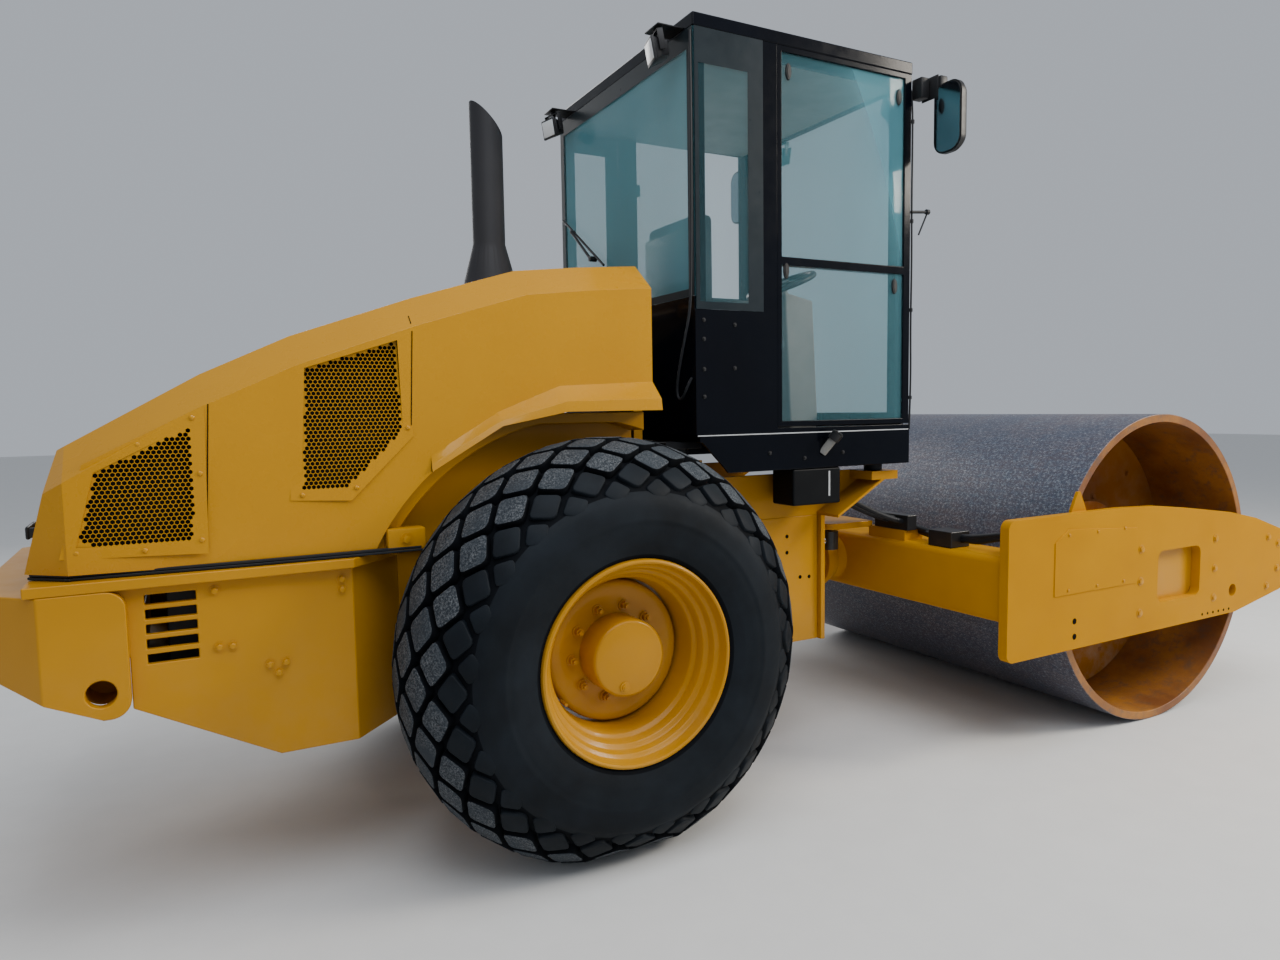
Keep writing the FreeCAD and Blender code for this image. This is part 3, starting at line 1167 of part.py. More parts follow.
# Cab frame: posts, rails and lower panels of one side, then the cross pieces
glass_in = "cab_half - pane"
post_back = "cab_back + pane"
post_front = "cab_front - pane"
full_z = ("cab_floor", "roof_under")
side_frame = [
    box("rear_post", (post_back, f"{post_back} + post"), (f"-({glass_in})", f"-({glass_in} - post)"),
        full_z),
    box("middle_post", ("quarter_front", "window_back"), ("-cab_half", "-(cab_half - post)"), full_z),
    box("front_post", (f"{post_front} - post", post_front),
        ("-(cab_half - wall)", "-(cab_half - wall - post)"), full_z),
    box("quarter_panel", (post_back, "quarter_front"), ("-cab_half", "-(cab_half - wall)"),
        ("cab_floor", "quarter_sill")),
    box("side_sill", ("window_back", post_front), ("-cab_half", "-(cab_half - wall - post)"),
        ("cab_floor", "window_low - move_gap")),
    box("quarter_rail", (post_back, "quarter_front"), (f"-({glass_in})", f"-({glass_in} - post)"),
        ("roof_under - rail", "roof_under")),
    box("side_rail", ("window_back", post_front), ("-(cab_half - wall)", "-(cab_half - wall - post)"),
        ("roof_under - rail", "roof_under")),
]
side_cage = fuse("side_cage", side_frame)
cage = [
    side_cage,
    mirrored("side_cage_left", side_cage),
    box("rear_panel", ("cab_back", "cab_back + wall"), wide("cab_half"), ("cab_floor", "quarter_sill")),
    box("rear_panel_top", ("cab_back", "cab_back + wall"), wide(glass_in), ("quarter_sill", "rear_sill")),
    box("rear_rail", (post_back, f"{post_back} + post"), wide(glass_in),
        ("roof_under - rail", "roof_under")),
    box("front_sill", (f"{post_front} - post", "cab_front"), wide("cab_half - wall"),
        ("cab_floor", "screen_low")),
    box("front_rail", (f"{post_front} - post", post_front), wide("cab_half - wall"),
        ("roof_under - rail", "roof_under")),
]
node("cab_roof", box("roof_plate", ("cab_back", "cab_front"), wide("cab_half"),
                     ("roof_under", "roof_top")))

# Glass
node("cab_windows", group("cab_windows", [
    box("rear_pane", ("cab_back", post_back), wide(glass_in), ("rear_sill", "roof_under")),
    both("quarter_panes", box("quarter_pane", (post_back, "quarter_front"),
                              ("-cab_half", f"-({glass_in})"), ("quarter_sill", "roof_under"))),
    box("screen_pane", (post_front, "cab_front"), wide("cab_half - wall"),
        ("screen_low", "roof_under")),
]))

# Side window frame on the right and the same form as a door on the left
frame_front_x = "cab_front - pane"


def leaf(name, inner, gap):
    """Frame of two stacked panes; gap keeps a moving leaf clear of its surround."""
    outer = box(f"{name}_outside", (f"window_back + {gap}", frame_front_x), ("-cab_half", flip(inner)),
                ("window_low", f"roof_under - {gap}"))
    hole_x = ("window_back + window_rim", f"{frame_front_x} - window_front_rim")
    through = ("-(cab_half + pane)", "-(cab_half - 2 * wall)")
    lower = box(f"{name}_lower_hole", hole_x, through, ("window_low + window_rim", "window_bar_low"))
    upper = box(f"{name}_upper_hole", hole_x, through,
                ("window_bar_high", "roof_under - window_rim"))
    return cut(name, outer, [lower, upper])


def panes(name, gap):
    """Two panes glued in the middle of the leaf's openings."""
    pane_x = (f"window_back + window_rim + {gap}", f"{frame_front_x} - window_front_rim - {gap}")
    pane_y = ("-(cab_half - pane)", "-(cab_half - 2 * pane)")
    return group(name, [
        box(f"{name}_lower", pane_x, pane_y, (f"window_low + window_rim + {gap}",
                                              f"window_bar_low - {gap}")),
        box(f"{name}_upper", pane_x, pane_y, (f"window_bar_high + {gap}",
                                              f"roof_under - window_rim - {gap}")),
    ])


hinge_y = "cab_half + hinge_out"
knuckle_gap = "2 * touch_gap"


def hinge_z(number, low, high):
    return (f"hinge_first + {number} * hinge_pitch + {low}", f"hinge_first + {number} * hinge_pitch + {high}")


def door_hinge(number):
    """Strap and knuckle on the leaf, on the right like the leaf before it is mirrored."""
    name = f"leaf_hinge_{number + 1}"
    span = hinge_z(number, knuckle_gap, "hinge_tall")
    ring = cylinder(f"{name}_ring", "Z", ("hinge_x", flip(hinge_y)), span, "hinge_r")
    strap = box(f"{name}_strap", ("hinge_x", "hinge_x + hinge_strap"),
                (flip(hinge_y), "-cab_half"), span)
    under = box(f"{name}_relief", ("hinge_x - hinge_r", "window_back + move_gap"),
                (f"-(cab_half + move_gap)", "-(cab_half - pane)"), span)
    hole = cylinder(f"{name}_hole", "Z", ("hinge_x", flip(hinge_y)), span, "hinge_pin_r + run_gap")
    return cut(name, fuse(f"{name}_steel", [ring, strap]), [under, hole])


def post_hinge(number):
    """Lower knuckle with its pin, on the cab's left post."""
    name = f"post_hinge_{number + 1}"
    low = hinge_z(number, "-hinge_tall", "0")
    return fuse(name, [
        cylinder(f"{name}_ring", "Z", ("hinge_x", hinge_y), low, "hinge_r"),
        box(f"{name}_foot", ("hinge_x - hinge_strap / 2", "hinge_x"), ("cab_half", hinge_y), low),
        cylinder(f"{name}_pin", "Z", ("hinge_x", hinge_y), hinge_z(number, "-hinge_tall / 2", "hinge_tall"),
                 "hinge_pin_r"),
    ])


node("cab_frame", fuse("cab_frame", cage + [post_hinge(0), post_hinge(1)]))
node("side_window_frame", leaf("side_window_frame", "cab_half - wall", "0"))
side_glass = node("side_glass", panes("side_glass", "0"))
node("door", mirrored("door_left", fuse("door_right", [
    leaf("door_leaf", "cab_half - wall + move_gap", "move_gap"), door_hinge(0), door_hinge(1)])))
node("door_glass", mirrored("door_glass_left", side_glass))

# Seat
node("seat", fuse("seat", [
    box("seat_pedestal", ("seat_back_x + seat_back_deep", "seat_front_x - 60"),
        wide("seat_base_half"), ("cab_floor", "seat_z - seat_cushion")),
    box("seat_cushion_block", ("seat_back_x", "seat_front_x"), wide("seat_half"),
        ("seat_z - seat_cushion", "seat_z")),
    box("seat_back_block", ("seat_back_x", "seat_back_x + seat_back_deep"), wide("seat_half"),
        ("seat_z - seat_cushion", "seat_top")),
]))

# Steering column and wheel; the shaft and the wheel lean back by the same tilt


def lean(item, rise):
    """Stands a piece on the steering axis, rise along it from the wheel's centre."""
    item.Placement.Rotation = FreeCAD.Rotation(FreeCAD.Vector(0, -1, 0), 0)
    bind(item, "Placement.Rotation.Angle", "steer_tilt")
    bind(item, "Placement.Rotation.Axis.y", "-1")
    bind(item, "Placement.Base.x", along(f"steer_x - ({rise}) * sin(steer_tilt)"))
    bind(item, "Placement.Base.z", f"steer_z + ({rise}) * cos(steer_tilt)")
    return item


def leaning_cylinder(name, rise, tall, radius):
    item = doc.addObject("Part::Cylinder", name)
    bind(item, "Radius", radius)
    bind(item, "Height", tall)
    return lean(item, rise)


shaft = leaning_cylinder("steering_shaft", "-(steer_hub_tall / 2 + touch_gap + stalk_long)",
                         "stalk_long", "stalk_r")
console = plate("column_post", "XZ", [
    ("column_x - column_half", "cab_floor"),
    ("column_x + column_half", "cab_floor"),
    ("column_x + column_half * 0.6", "column_top"),
    ("column_x - column_half * 1.4", "column_top + column_half * 0.4"),
], wide("column_half"))
node("steering_console", fuse("steering_console", [console, shaft]))
rim_torus = doc.addObject("Part::Torus", "steering_rim")
bind(rim_torus, "Radius1", "steer_r - steer_rim")
bind(rim_torus, "Radius2", "steer_rim")
lean(rim_torus, "0")
spokes = []
for side in (-1, 1):
    spoke = doc.addObject("Part::Box", f"steering_spoke_{side + 2}")
    bind(spoke, "Length", "steer_rim * 2")
    bind(spoke, "Width", "steer_r - steer_rim")
    bind(spoke, "Height", "steer_rim")
    lean(spoke, "-steer_rim / 2")
    bind(spoke, "Placement.Base.y", "0" if side > 0 else "-(steer_r - steer_rim)")
    spokes.append(spoke)
node("steering_wheel", fuse("steering_wheel", [
    rim_torus, leaning_cylinder("steering_hub", "-steer_hub_tall / 2", "steer_hub_tall",
                                "steer_hub_r")] + spokes))

# Washer bottle, mirrors and lamps
node("washer_bottle", box("bottle", ("bottle_back", "bottle_front"), ("-bottle_out", "-bottle_in"),
                          ("bottle_low", "skirt_low")))
mirror = fuse("mirror", [
    plate("mirror_head", "YZ", [
        ("-mirror_out", "mirror_low"),
        ("-mirror_in", "mirror_low"),
        ("-mirror_in", "mirror_high"),
        ("-mirror_out", "mirror_high"),
    ], ("mirror_x", "mirror_x + mirror_thick"), rounded=EVERY, radius="mirror_corner"),
    box("mirror_bar", ("cab_front", "mirror_x + mirror_thick"),
        ("-mirror_out + mirror_corner", "-(cab_half - wall)"), ("mirror_high", "mirror_high + mirror_arm")),
])
node("mirrors", both("mirrors", mirror))


def lamp(name, x_text, y_text, inward):
    """Square lamp hung from a bracket on the roof's end face."""
    top = "roof_under - lamp_hang"
    plate_x = sorted_pair(x_text, inward)
    return fuse(name, [
        box(f"{name}_head", (f"{x_text} - lamp_deep / 2", f"{x_text} + lamp_deep / 2"),
            (f"{y_text} - lamp_side / 2", f"{y_text} + lamp_side / 2"), (f"{top} - lamp_side", top)),
        box(f"{name}_neck", (f"{x_text} - lamp_plate", f"{x_text} + lamp_plate"),
            (f"{y_text} - lamp_plate * 2", f"{y_text} + lamp_plate * 2"), (top, "roof_under + 2 * lamp_plate")),
        box(f"{name}_bracket", plate_x, (f"{y_text} - lamp_side / 3", f"{y_text} + lamp_side / 3"),
            ("roof_under + lamp_plate", "roof_under + 2 * lamp_plate")),
    ])


def sorted_pair(outer, inner):
    """Bracket ends in rising order along X."""
    if value(outer) < value(inner):
        return (f"{outer} - lamp_plate", inner)
    return (inner, f"{outer} + lamp_plate")


lamps = []
for label, spot_x, wall_x, spot_y in (("rear_lamp", "cab_back - lamp_reach", "cab_back", "rear_lamp_y"),
                                      ("front_lamp", "cab_front + lamp_reach", "cab_front",
                                       "front_lamp_y")):
    right_lamp = lamp(label, spot_x, f"-{spot_y}", wall_x)
    lamps += [right_lamp, mirrored(f"{label}_left", right_lamp)]
node("work_lamps", group("work_lamps", lamps))

# Steps and grab rail on the left
step_parts = []
for number in range(3):
    low = f"step_first + {number} * step_rise"
    step_parts.append(box(f"tread_{number + 1}", ("step_back", "step_front"), ("step_in", "step_out"),
                          (low, f"{low} + step_tread")))
for label, start in (("back", "step_back"), ("front", "step_front - step_plate")):
    step_parts.append(box(f"stringer_{label}", (start, f"{start} + step_plate"),
                          ("step_in", "step_out"),
                          ("step_first", "step_first + 2 * step_rise + step_tread")))
    step_parts.append(box(f"step_bracket_{label}", (start, f"{start} + step_plate"),
                          ("neck_half", "step_in"),
                          ("step_first + step_rise", "step_first + 2 * step_rise")))
node("steps", fuse("steps", step_parts))
grab_x = "cab_front + grab_out"
grab_y = "cab_half - wall"
node("grab_rail", fuse("grab_rail", [
    cylinder("grab_bar", "Z", (grab_x, grab_y), ("grab_low", "grab_high"), "grab_r"),
    cylinder("grab_foot", "X", (grab_y, "grab_low + 2 * grab_r"), ("cab_front", grab_x),
             "grab_r * 0.8"),
    cylinder("grab_head", "X", (grab_y, "grab_high - 2 * grab_r"), ("cab_front", grab_x),
             "grab_r * 0.8"),
]))

# Hood: outer and inner lofts cut to the side view, minus the wheel arch and the openings


HOOD_STATIONS = ["tail", "rear", "grille", "middle", "rise", "crown", "brow", "front"]


def hood_section(name, station, height, side, top, inset):
    sketch = doc.addObject("Sketcher::SketchObject", name)
    sketch.Placement = FreeCAD.Placement(FreeCAD.Vector(), FreeCAD.Rotation(FreeCAD.Vector(1, 1, 1), 120))
    bind(sketch, "Placement.Base.x", along(station))
    draw(sketch, [
        (f"-({side} - {inset})", "frame_top"),
        (f"{side} - {inset}", "frame_top"),
        (f"{side} - {inset}", f"{height} - hood_drop - {inset} / 2"),
        (f"{top} - {inset} / 2", f"{height} - {inset}"),
        (f"-({top} - {inset} / 2)", f"{height} - {inset}"),
        (f"-({side} - {inset})", f"{height} - hood_drop - {inset} / 2"),
    ])
    return sketch


def hood_loft(name, inset):
    sections = []
    for alias in HOOD_STATIONS:
        tail = alias == "tail"
        side = "hood_tail_half" if tail else "hood_half"
        top = "hood_tail_top_half" if tail else "hood_top_half"
        sections.append(hood_section(f"{name}_{alias}", f"top_{alias}_x", f"top_{alias}_z",
                                     side, top, inset))
    loft = doc.addObject("Part::Loft", name)
    loft.Sections = sections
    loft.Solid = True
    loft.Ruled = True
    return loft


slant = "(hood_slant_x - hood_tail) / (hood_slant_z - hood_low_back)"


def hood_view(name, inset):
    """Side view of the hood with its sloped rear face."""
    return plate(name, "XZ", [
        (f"hood_tail + 5 + {inset} - 60 * {slant}", "hood_low_back - 60"),
        ("-hood_arch_r * 0.894", "hood_low_back - 60"),
        ("-hood_arch_r * 0.5", "hood_lip_z - 300"),
        ("-50", "hood_lip_z"),
        (f"hood_front - {inset}", "hood_lip_z"),
        (f"hood_front - {inset}", "top_front_z + 100"),
        (f"hood_slant_x + {inset} + (top_front_z + 100 - hood_slant_z) * {slant}",
         "top_front_z + 100"),
    ], wide("hood_half + ledge"))


hood_outside = common("hood_outside", hood_loft("hood_outer_loft", "0"), hood_view("hood_outer_view", "0"))
hood_inside = common("hood_inside", hood_loft("hood_inner_loft", "hood_shell"),
                     plate("hood_inner_view", "XZ", [
                         (f"hood_tail + 5 + hood_shell - 60 * {slant}", "hood_low_back - 60"),
                         ("hood_front - hood_shell", "hood_low_back - 60"),
                         ("hood_front - hood_shell", "top_front_z + 100"),
                         (f"hood_slant_x + hood_shell + (top_front_z + 100 - hood_slant_z) * {slant}",
                          "top_front_z + 100"),
                     ], wide("hood_half + ledge")))
hood_arch = cylinder("hood_arch", "Y", ("0", "axle_z"), wide("hood_half + ledge"), "hood_arch_r")
hood_trim = plate("hood_trim", "XZ", [
    ("hood_tail - 100", "hood_low_back - 100"),
    ("hood_front", "hood_low_back - 100"),
    ("hood_front", "hood_low_front - 3"),
    ("-hood_arch_r * 0.894", "hood_low_front"),
    ("hood_tail - 100", "hood_low_back + 2"),
], wide("hood_half + ledge"))
# Side grille openings: station and height of each corner
GRILLE_FRONT = [(f"vent_{corner}_x", f"vent_{corner}_z") for corner in "abcde"]
GRILLE_REAR = [(f"vent_{corner}_x", f"vent_{corner}_z") for corner in "fghi"]


def grown(points, grow):
    """Outline moved outward from its middle."""
    mid_x = sum(value(a) for a, _ in points) / len(points)
    mid_z = sum(value(b) for _, b in points) / len(points)
    result = []
    for a, b in points:
        sign_x = 1 if value(a) > mid_x else -1
        sign_z = 1 if value(b) > mid_z else -1
        result.append((f"{a} + {sign_x} * {grow}", f"{b} + {sign_z} * {grow}"))
    return result


def top_at(station):
    return (f"(top_rear_z + ({station} - top_rear_x) * (top_grille_z - top_rear_z)"
            " / (top_grille_x - top_rear_x))")


mouths = []
side_meshes = []
for label, outline in (("front", GRILLE_FRONT), ("rear", GRILLE_REAR)):
    mouths.append(plate(f"mouth_{label}", "XZ", outline, wide("hood_half + ledge")))
    side_meshes.append(common(
        f"mesh_{label}",
        plate(f"mesh_{label}_plate", "XZ", grown(outline, "mesh_rim"),
              ("-(hood_half - hood_shell)", "-(hood_half - hood_shell - mesh_plate)")),
        hood_inside))
mouths.append(box("mouth_top", ("mesh_back", "mesh_front"), wide("mesh_half"),
                  ("radiator_top", "top_middle_z")))
top_mesh = plate("mesh_top", "XZ", [
    (f"mesh_back - mesh_rim / 2", f"{top_at('mesh_back - mesh_rim / 2')} - hood_shell - mesh_plate"),
    ("mesh_front", f"{top_at('mesh_front')} - hood_shell - mesh_plate"),
    ("mesh_front", f"{top_at('mesh_front')} - hood_shell"),
    (f"mesh_back - mesh_rim / 2", f"{top_at('mesh_back - mesh_rim / 2')} - hood_shell"),
], wide("mesh_half + mesh_rim"))
hood_steel = cut("hood_body", hood_outside, [hood_inside, hood_arch, hood_trim] + mouths)
hinge_arm = box("hinge_arm", ("hood_front", "hood_hinge_x + 2 * hood_pin_r"),
                ("-(hood_arm_half + hood_arm_wide / 2)", "-(hood_arm_half - hood_arm_wide / 2)"),
                ("hood_hinge_z - 2 * hood_pin_r", "hood_hinge_z + 2 * hood_pin_r"))
arm_bore = cylinder("hinge_arm_bore", "Y", ("hood_hinge_x", "hood_hinge_z"), wide("hood_half"),
                    "hood_pin_r + run_gap")
hinge_arms = cut("hinge_arms", fuse("hinge_arm_pair", [hinge_arm, mirrored("hinge_arm_left", hinge_arm)]),
                 [arm_bore])


def flare_section(label, station, high, low, out):
    """Cross section of the flare on the right side; it grows out of the hood wall."""
    sketch = doc.addObject("Sketcher::SketchObject", f"flare_{label}")
    sketch.Placement = FreeCAD.Placement(FreeCAD.Vector(), FreeCAD.Rotation(FreeCAD.Vector(1, 1, 1), 120))
    bind(sketch, "Placement.Base.x", along(station))
    wall_in = "-(hood_half - hood_shell / 2)"
    draw(sketch, [
        (wall_in, high),
        (wall_in, low),
        (f"-(hood_half + {out} + flare_lip)", low),
        (f"-(hood_half + {out})", f"{low} + ({high} - ({low})) * 0.4"),
        ("-hood_half", high),
    ])
    return sketch


flare = doc.addObject("Part::Loft", "flare_right")
flare.Sections = [
    flare_section("a", "flare_a_x", "flare_a_high", "flare_a_low", "flare_out * 0.1"),
    flare_section("b", "flare_b_x", "flare_b_high", "flare_b_low", "flare_out * 0.6"),
    flare_section("c", "flare_c_x", "flare_c_high", "hood_lip_z", "flare_out"),
    flare_section("d", "hood_front", "flare_d_high", "hood_lip_z", "flare_out"),
]
flare.Solid = True
flare.Ruled = True
node("hood_shell", fuse("hood_shell", [hood_steel, hinge_arms, flare, mirrored("flare_left", flare)]))
node("hood_grilles", group("hood_grilles", side_meshes + [
    mirrored("mesh_front_left", side_meshes[0]), mirrored("mesh_rear_left", side_meshes[1]), top_mesh]))

# Exhaust stack: a flared foot and a pipe with a slanted mouth
foot = doc.addObject("Part::Cone", "stack_foot")
bind(foot, "Radius1", "stack_foot_r")
bind(foot, "Radius2", "stack_r")
bind(foot, "Height", "stack_foot_z - top_crown_z")
bind(foot, "Placement.Base.x", along("stack_x"))
bind(foot, "Placement.Base.z", "top_crown_z")
pipe = cylinder("stack_pipe", "Z", ("stack_x", "0"), ("top_crown_z", "stack_top"), "stack_r")
bore = cylinder("stack_bore", "Z", ("stack_x", "0"), ("stack_foot_z", "stack_top + 50"),
                "stack_r - stack_wall")
mouth = plate("stack_mouth", "XZ", [
    ("stack_x - stack_r", "stack_top"),
    ("stack_x + stack_r", "stack_lip"),
    ("stack_x + stack_r", "stack_top + 50"),
    ("stack_x - stack_r", "stack_top + 50"),
], wide("stack_foot_r"))
node("exhaust_stack", cut("exhaust_stack", fuse("stack_steel", [foot, pipe]),
                          [bore, mouth, hood_outside]))

doc.recompute()

faults = []
for item in doc.Objects:
    if "Invalid" in item.State or "Error" in item.State:
        faults.append(f"{item.Name}: {item.State}")
for name, item in NODES.items():
    if item.Shape.isNull() or not item.Shape.isValid() or not item.Shape.Solids:
        faults.append(f"{name}: bad shape")
if faults:
    raise RuntimeError("; ".join(faults))

os.makedirs("parts", exist_ok=True)
for name, item in NODES.items():
    item.Shape.exportStep(f"parts/{name}.step")
    print(f"{name}: {len(item.Shape.Solids)} solids, {item.Shape.Volume / 1e9:.4f} m3")
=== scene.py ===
# %% [markdown]
# # Road roller
#
# A single-drum vibratory roller: a smooth steel drum in a swivelling yoke, a glazed cab, and a
# sloping engine hood over two wide tyres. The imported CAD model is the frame: every piece below
# takes its place from it. Stations run forward from the rear axle, and all lengths are metres.

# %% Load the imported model
import json
import math

import bmesh
import bpy
from mathutils import Matrix, Vector
from mathutils.bvhtree import BVHTree


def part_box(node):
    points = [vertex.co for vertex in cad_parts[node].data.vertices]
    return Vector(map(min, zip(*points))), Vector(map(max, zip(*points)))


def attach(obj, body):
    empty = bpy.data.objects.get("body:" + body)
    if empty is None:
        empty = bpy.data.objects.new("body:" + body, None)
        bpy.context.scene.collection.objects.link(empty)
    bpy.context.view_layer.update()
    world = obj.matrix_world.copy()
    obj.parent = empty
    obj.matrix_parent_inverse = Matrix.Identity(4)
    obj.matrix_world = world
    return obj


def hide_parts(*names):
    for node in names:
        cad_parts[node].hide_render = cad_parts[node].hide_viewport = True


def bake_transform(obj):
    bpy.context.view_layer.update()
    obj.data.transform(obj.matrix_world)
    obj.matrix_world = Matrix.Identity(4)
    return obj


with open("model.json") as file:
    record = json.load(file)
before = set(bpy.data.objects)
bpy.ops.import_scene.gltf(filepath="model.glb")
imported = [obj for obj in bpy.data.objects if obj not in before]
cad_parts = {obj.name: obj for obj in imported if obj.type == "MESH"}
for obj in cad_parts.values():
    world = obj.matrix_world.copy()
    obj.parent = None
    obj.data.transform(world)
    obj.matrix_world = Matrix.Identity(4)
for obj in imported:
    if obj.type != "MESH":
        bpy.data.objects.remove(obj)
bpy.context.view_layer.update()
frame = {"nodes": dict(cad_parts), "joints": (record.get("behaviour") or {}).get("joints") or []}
NODES = frame["nodes"]
JOINTS = {joint["name"]: joint for joint in frame["joints"]}
AXLE_X, _, AXLE_Z = JOINTS["wheel_right_spin"]["pos_m"]
DRUM_X, _, DRUM_Z = JOINTS["drum_spin"]["pos_m"]


def along(station):
    """Place along X of a station counted from the rear axle."""
    return AXLE_X + station


def linked(name, data):
    """New object in the scene."""
    made = bpy.data.objects.new(name, data)
    bpy.context.scene.collection.objects.link(made)
    return made


# %% [markdown]
# ## Camera, floor and light
#
# The photograph was taken from the right rear quarter at eye height with a wide lens, so the
# camera stands close. Its place and its three axes come from the parallel edges of the machine.
# A large soft light above, a warmer one from the front, and a pale world stand in for open shade.

# %% Camera, floor and lights
def aim_matrix(right, up, forward):
    rows = [(right[i], up[i], -forward[i]) for i in range(3)]
    return Matrix(rows).to_4x4()


camera_data = bpy.data.cameras.new("camera")
camera = linked("camera", camera_data)
camera_data.sensor_width = 36.0
camera_data.lens = 24.4
camera.matrix_world = Matrix.Translation((-2.38, -3.6132, 1.5993)) @ aim_matrix(
    (0.88069, -0.47344, -0.01564), (0.05296, 0.06560, 0.99644), (0.47073, 0.87838, -0.08284))
bpy.context.scene.camera = camera


def soft_light(name, place, target, size, power, colour):
    """Square area light that faces a target."""
    data = bpy.data.lights.new(name, "AREA")
    data.size = size
    data.energy = power
    data.color = colour
    light = linked(name, data)
    light.location = place
    light.rotation_euler = (Vector(target) - Vector(place)).to_track_quat("-Z", "Y").to_euler()


soft_light("sky_panel", (-1.0, -3.5, 7.0), (0.0, 0.0, 1.0), 6.0, 380.0, (0.93, 0.96, 1.0))
soft_light("front_panel", (6.0, -4.5, 5.0), (1.5, -0.5, 0.8), 2.5, 520.0, (1.0, 0.93, 0.82))
soft_light("left_panel", (0.0, 7.0, 5.0), (0.0, 0.0, 1.0), 5.0, 260.0, (1.0, 0.98, 0.95))

world = bpy.data.worlds.new("studio")
world.use_nodes = True
sky = world.node_tree.nodes["Background"]
sky.inputs["Color"].default_value = (0.80, 0.86, 0.95, 1.0)
sky.inputs["Strength"].default_value = 0.56
bpy.context.scene.world = world

floor_mesh = bmesh.new()
bmesh.ops.create_grid(floor_mesh, x_segments=1, y_segments=1, size=40.0)
floor_data = bpy.data.meshes.new("floor")
floor_mesh.to_mesh(floor_data)
floor_mesh.free()
floor = linked("floor", floor_data)
print("camera at", tuple(camera.location), "lens", camera_data.lens)

# %% [markdown]
# ## Finishes
#
# The machine wears a few finishes: ochre gloss paint, black cab paint, rubber, scuffed steel and
# chrome. Each one is a Principled shader whose colour and roughness vary with noise in the
# piece's own coordinates, so the same dust and orange peel run over neighbouring pieces. An image
# would need unwrapping; noise needs none and stays sharp close by.

# %% Helpers for shader nodes
def new_material(name):
    made = bpy.data.materials.new(name)
    made.use_nodes = True
    return made, made.node_tree, made.node_tree.nodes["Principled BSDF"]


def dial(node, **values):
    """Sets the inputs of those names."""
    for key, value in values.items():
        node.inputs[key.replace("_", " ")].default_value = value


def add(tree, kind, **values):
    """New shader node; a value goes to a property or else to the input of that name."""
    made = tree.nodes.new(kind)
    for key, value in values.items():
        if hasattr(made, key):
            setattr(made, key, value)
        else:
            dial(made, **{key: value})
    return made


def place_of(tree, stretch=(1, 1, 1)):
    """Object coordinates, squeezed or stretched per axis."""
    coords = add(tree, "ShaderNodeTexCoord")
    mapping = add(tree, "ShaderNodeMapping", Scale=stretch)
    tree.links.new(coords.outputs["Object"], mapping.inputs["Vector"])
    return mapping.outputs["Vector"]


def noise(tree, scale, detail=4.0, rough=0.55, stretch=(1, 1, 1)):
    made = add(tree, "ShaderNodeTexNoise", Scale=scale, Detail=detail, Roughness=rough)
    tree.links.new(place_of(tree, stretch), made.inputs["Vector"])
    return made.outputs["Fac"]


def ramp(tree, source, low, high, start=(0, 0, 0), end=(1, 1, 1)):
    made = add(tree, "ShaderNodeValToRGB")
    made.color_ramp.elements[0].position = low
    made.color_ramp.elements[0].color = (*start, 1)
    made.color_ramp.elements[1].position = high
    made.color_ramp.elements[1].color = (*end, 1)
    tree.links.new(source, made.inputs["Fac"])
    return made.outputs["Color"]


def blend_colours(tree, factor, first, second):
    """Mix of two colours, each a value or a socket, by a socket."""
    made = add(tree, "ShaderNodeMix", data_type="RGBA")
    tree.links.new(factor, made.inputs["Factor"])
    for slot_name, colour in (("A", first), ("B", second)):
        socket = [s for s in made.inputs if s.name == slot_name and s.type == "RGBA"][0]
        if isinstance(colour, tuple):
            socket.default_value = (*colour, 1)
        else:
            tree.links.new(colour, socket)
    return [s for s in made.outputs if s.type == "RGBA"][0]


def combine(tree, operation, first, second):
    made = add(tree, "ShaderNodeMath", operation=operation, use_clamp=True)
    for socket, source in zip(made.inputs, (first, second)):
        if isinstance(source, (int, float)):
            socket.default_value = source
        else:
            tree.links.new(source, socket)
    return made.outputs["Value"]


def height_fade(tree, low, high):
    """1 at height low, 0 at height high."""
    split = add(tree, "ShaderNodeSeparateXYZ")
    tree.links.new(place_of(tree), split.inputs["Vector"])
    fade = add(tree, "ShaderNodeMapRange", From_Min=low, From_Max=high, To_Min=1.0, To_Max=0.0)
    tree.links.new(split.outputs["Z"], fade.inputs["Value"])
    return fade.outputs["Result"]


def roughen(tree, shader, source, strength, depth):
    made = add(tree, "ShaderNodeBump", Strength=strength, Distance=depth)
    tree.links.new(source, made.inputs["Height"])
    tree.links.new(made.outputs["Normal"], shader.inputs["Normal"])


print("shader helpers ready")

# %% Paint
DUST = (0.42, 0.38, 0.31)


def gloss_paint(name, colour, shade, rough, coat, dust_top=1.0, dust=0.35, peel=0.12,
                shine=0.22):
    """Sprayed paint: soft colour drift, orange peel, dust low down and in patches."""
    made, tree, shader = new_material(name)
    drift = blend_colours(tree, ramp(tree, noise(tree, 1.7, 3.0), 0.35, 0.7), colour, shade)
    patches = ramp(tree, noise(tree, 9.0, 6.0, 0.7), 0.42, 0.75)
    low = combine(tree, "MULTIPLY", patches, height_fade(tree, 0.25, dust_top))
    dusty = combine(tree, "MULTIPLY", low, dust)
    tree.links.new(blend_colours(tree, dusty, drift, DUST), shader.inputs["Base Color"])
    spread = combine(tree, "MULTIPLY", noise(tree, 14.0, 5.0), 0.16)
    tree.links.new(combine(tree, "ADD", combine(tree, "ADD", dusty, spread), rough - 0.08),
                   shader.inputs["Roughness"])
    dial(shader, Specular_IOR_Level=shine, Coat_Weight=coat, Coat_Roughness=0.09)
    roughen(tree, shader, noise(tree, 120.0, 2.0), peel, 0.0006)
    return made


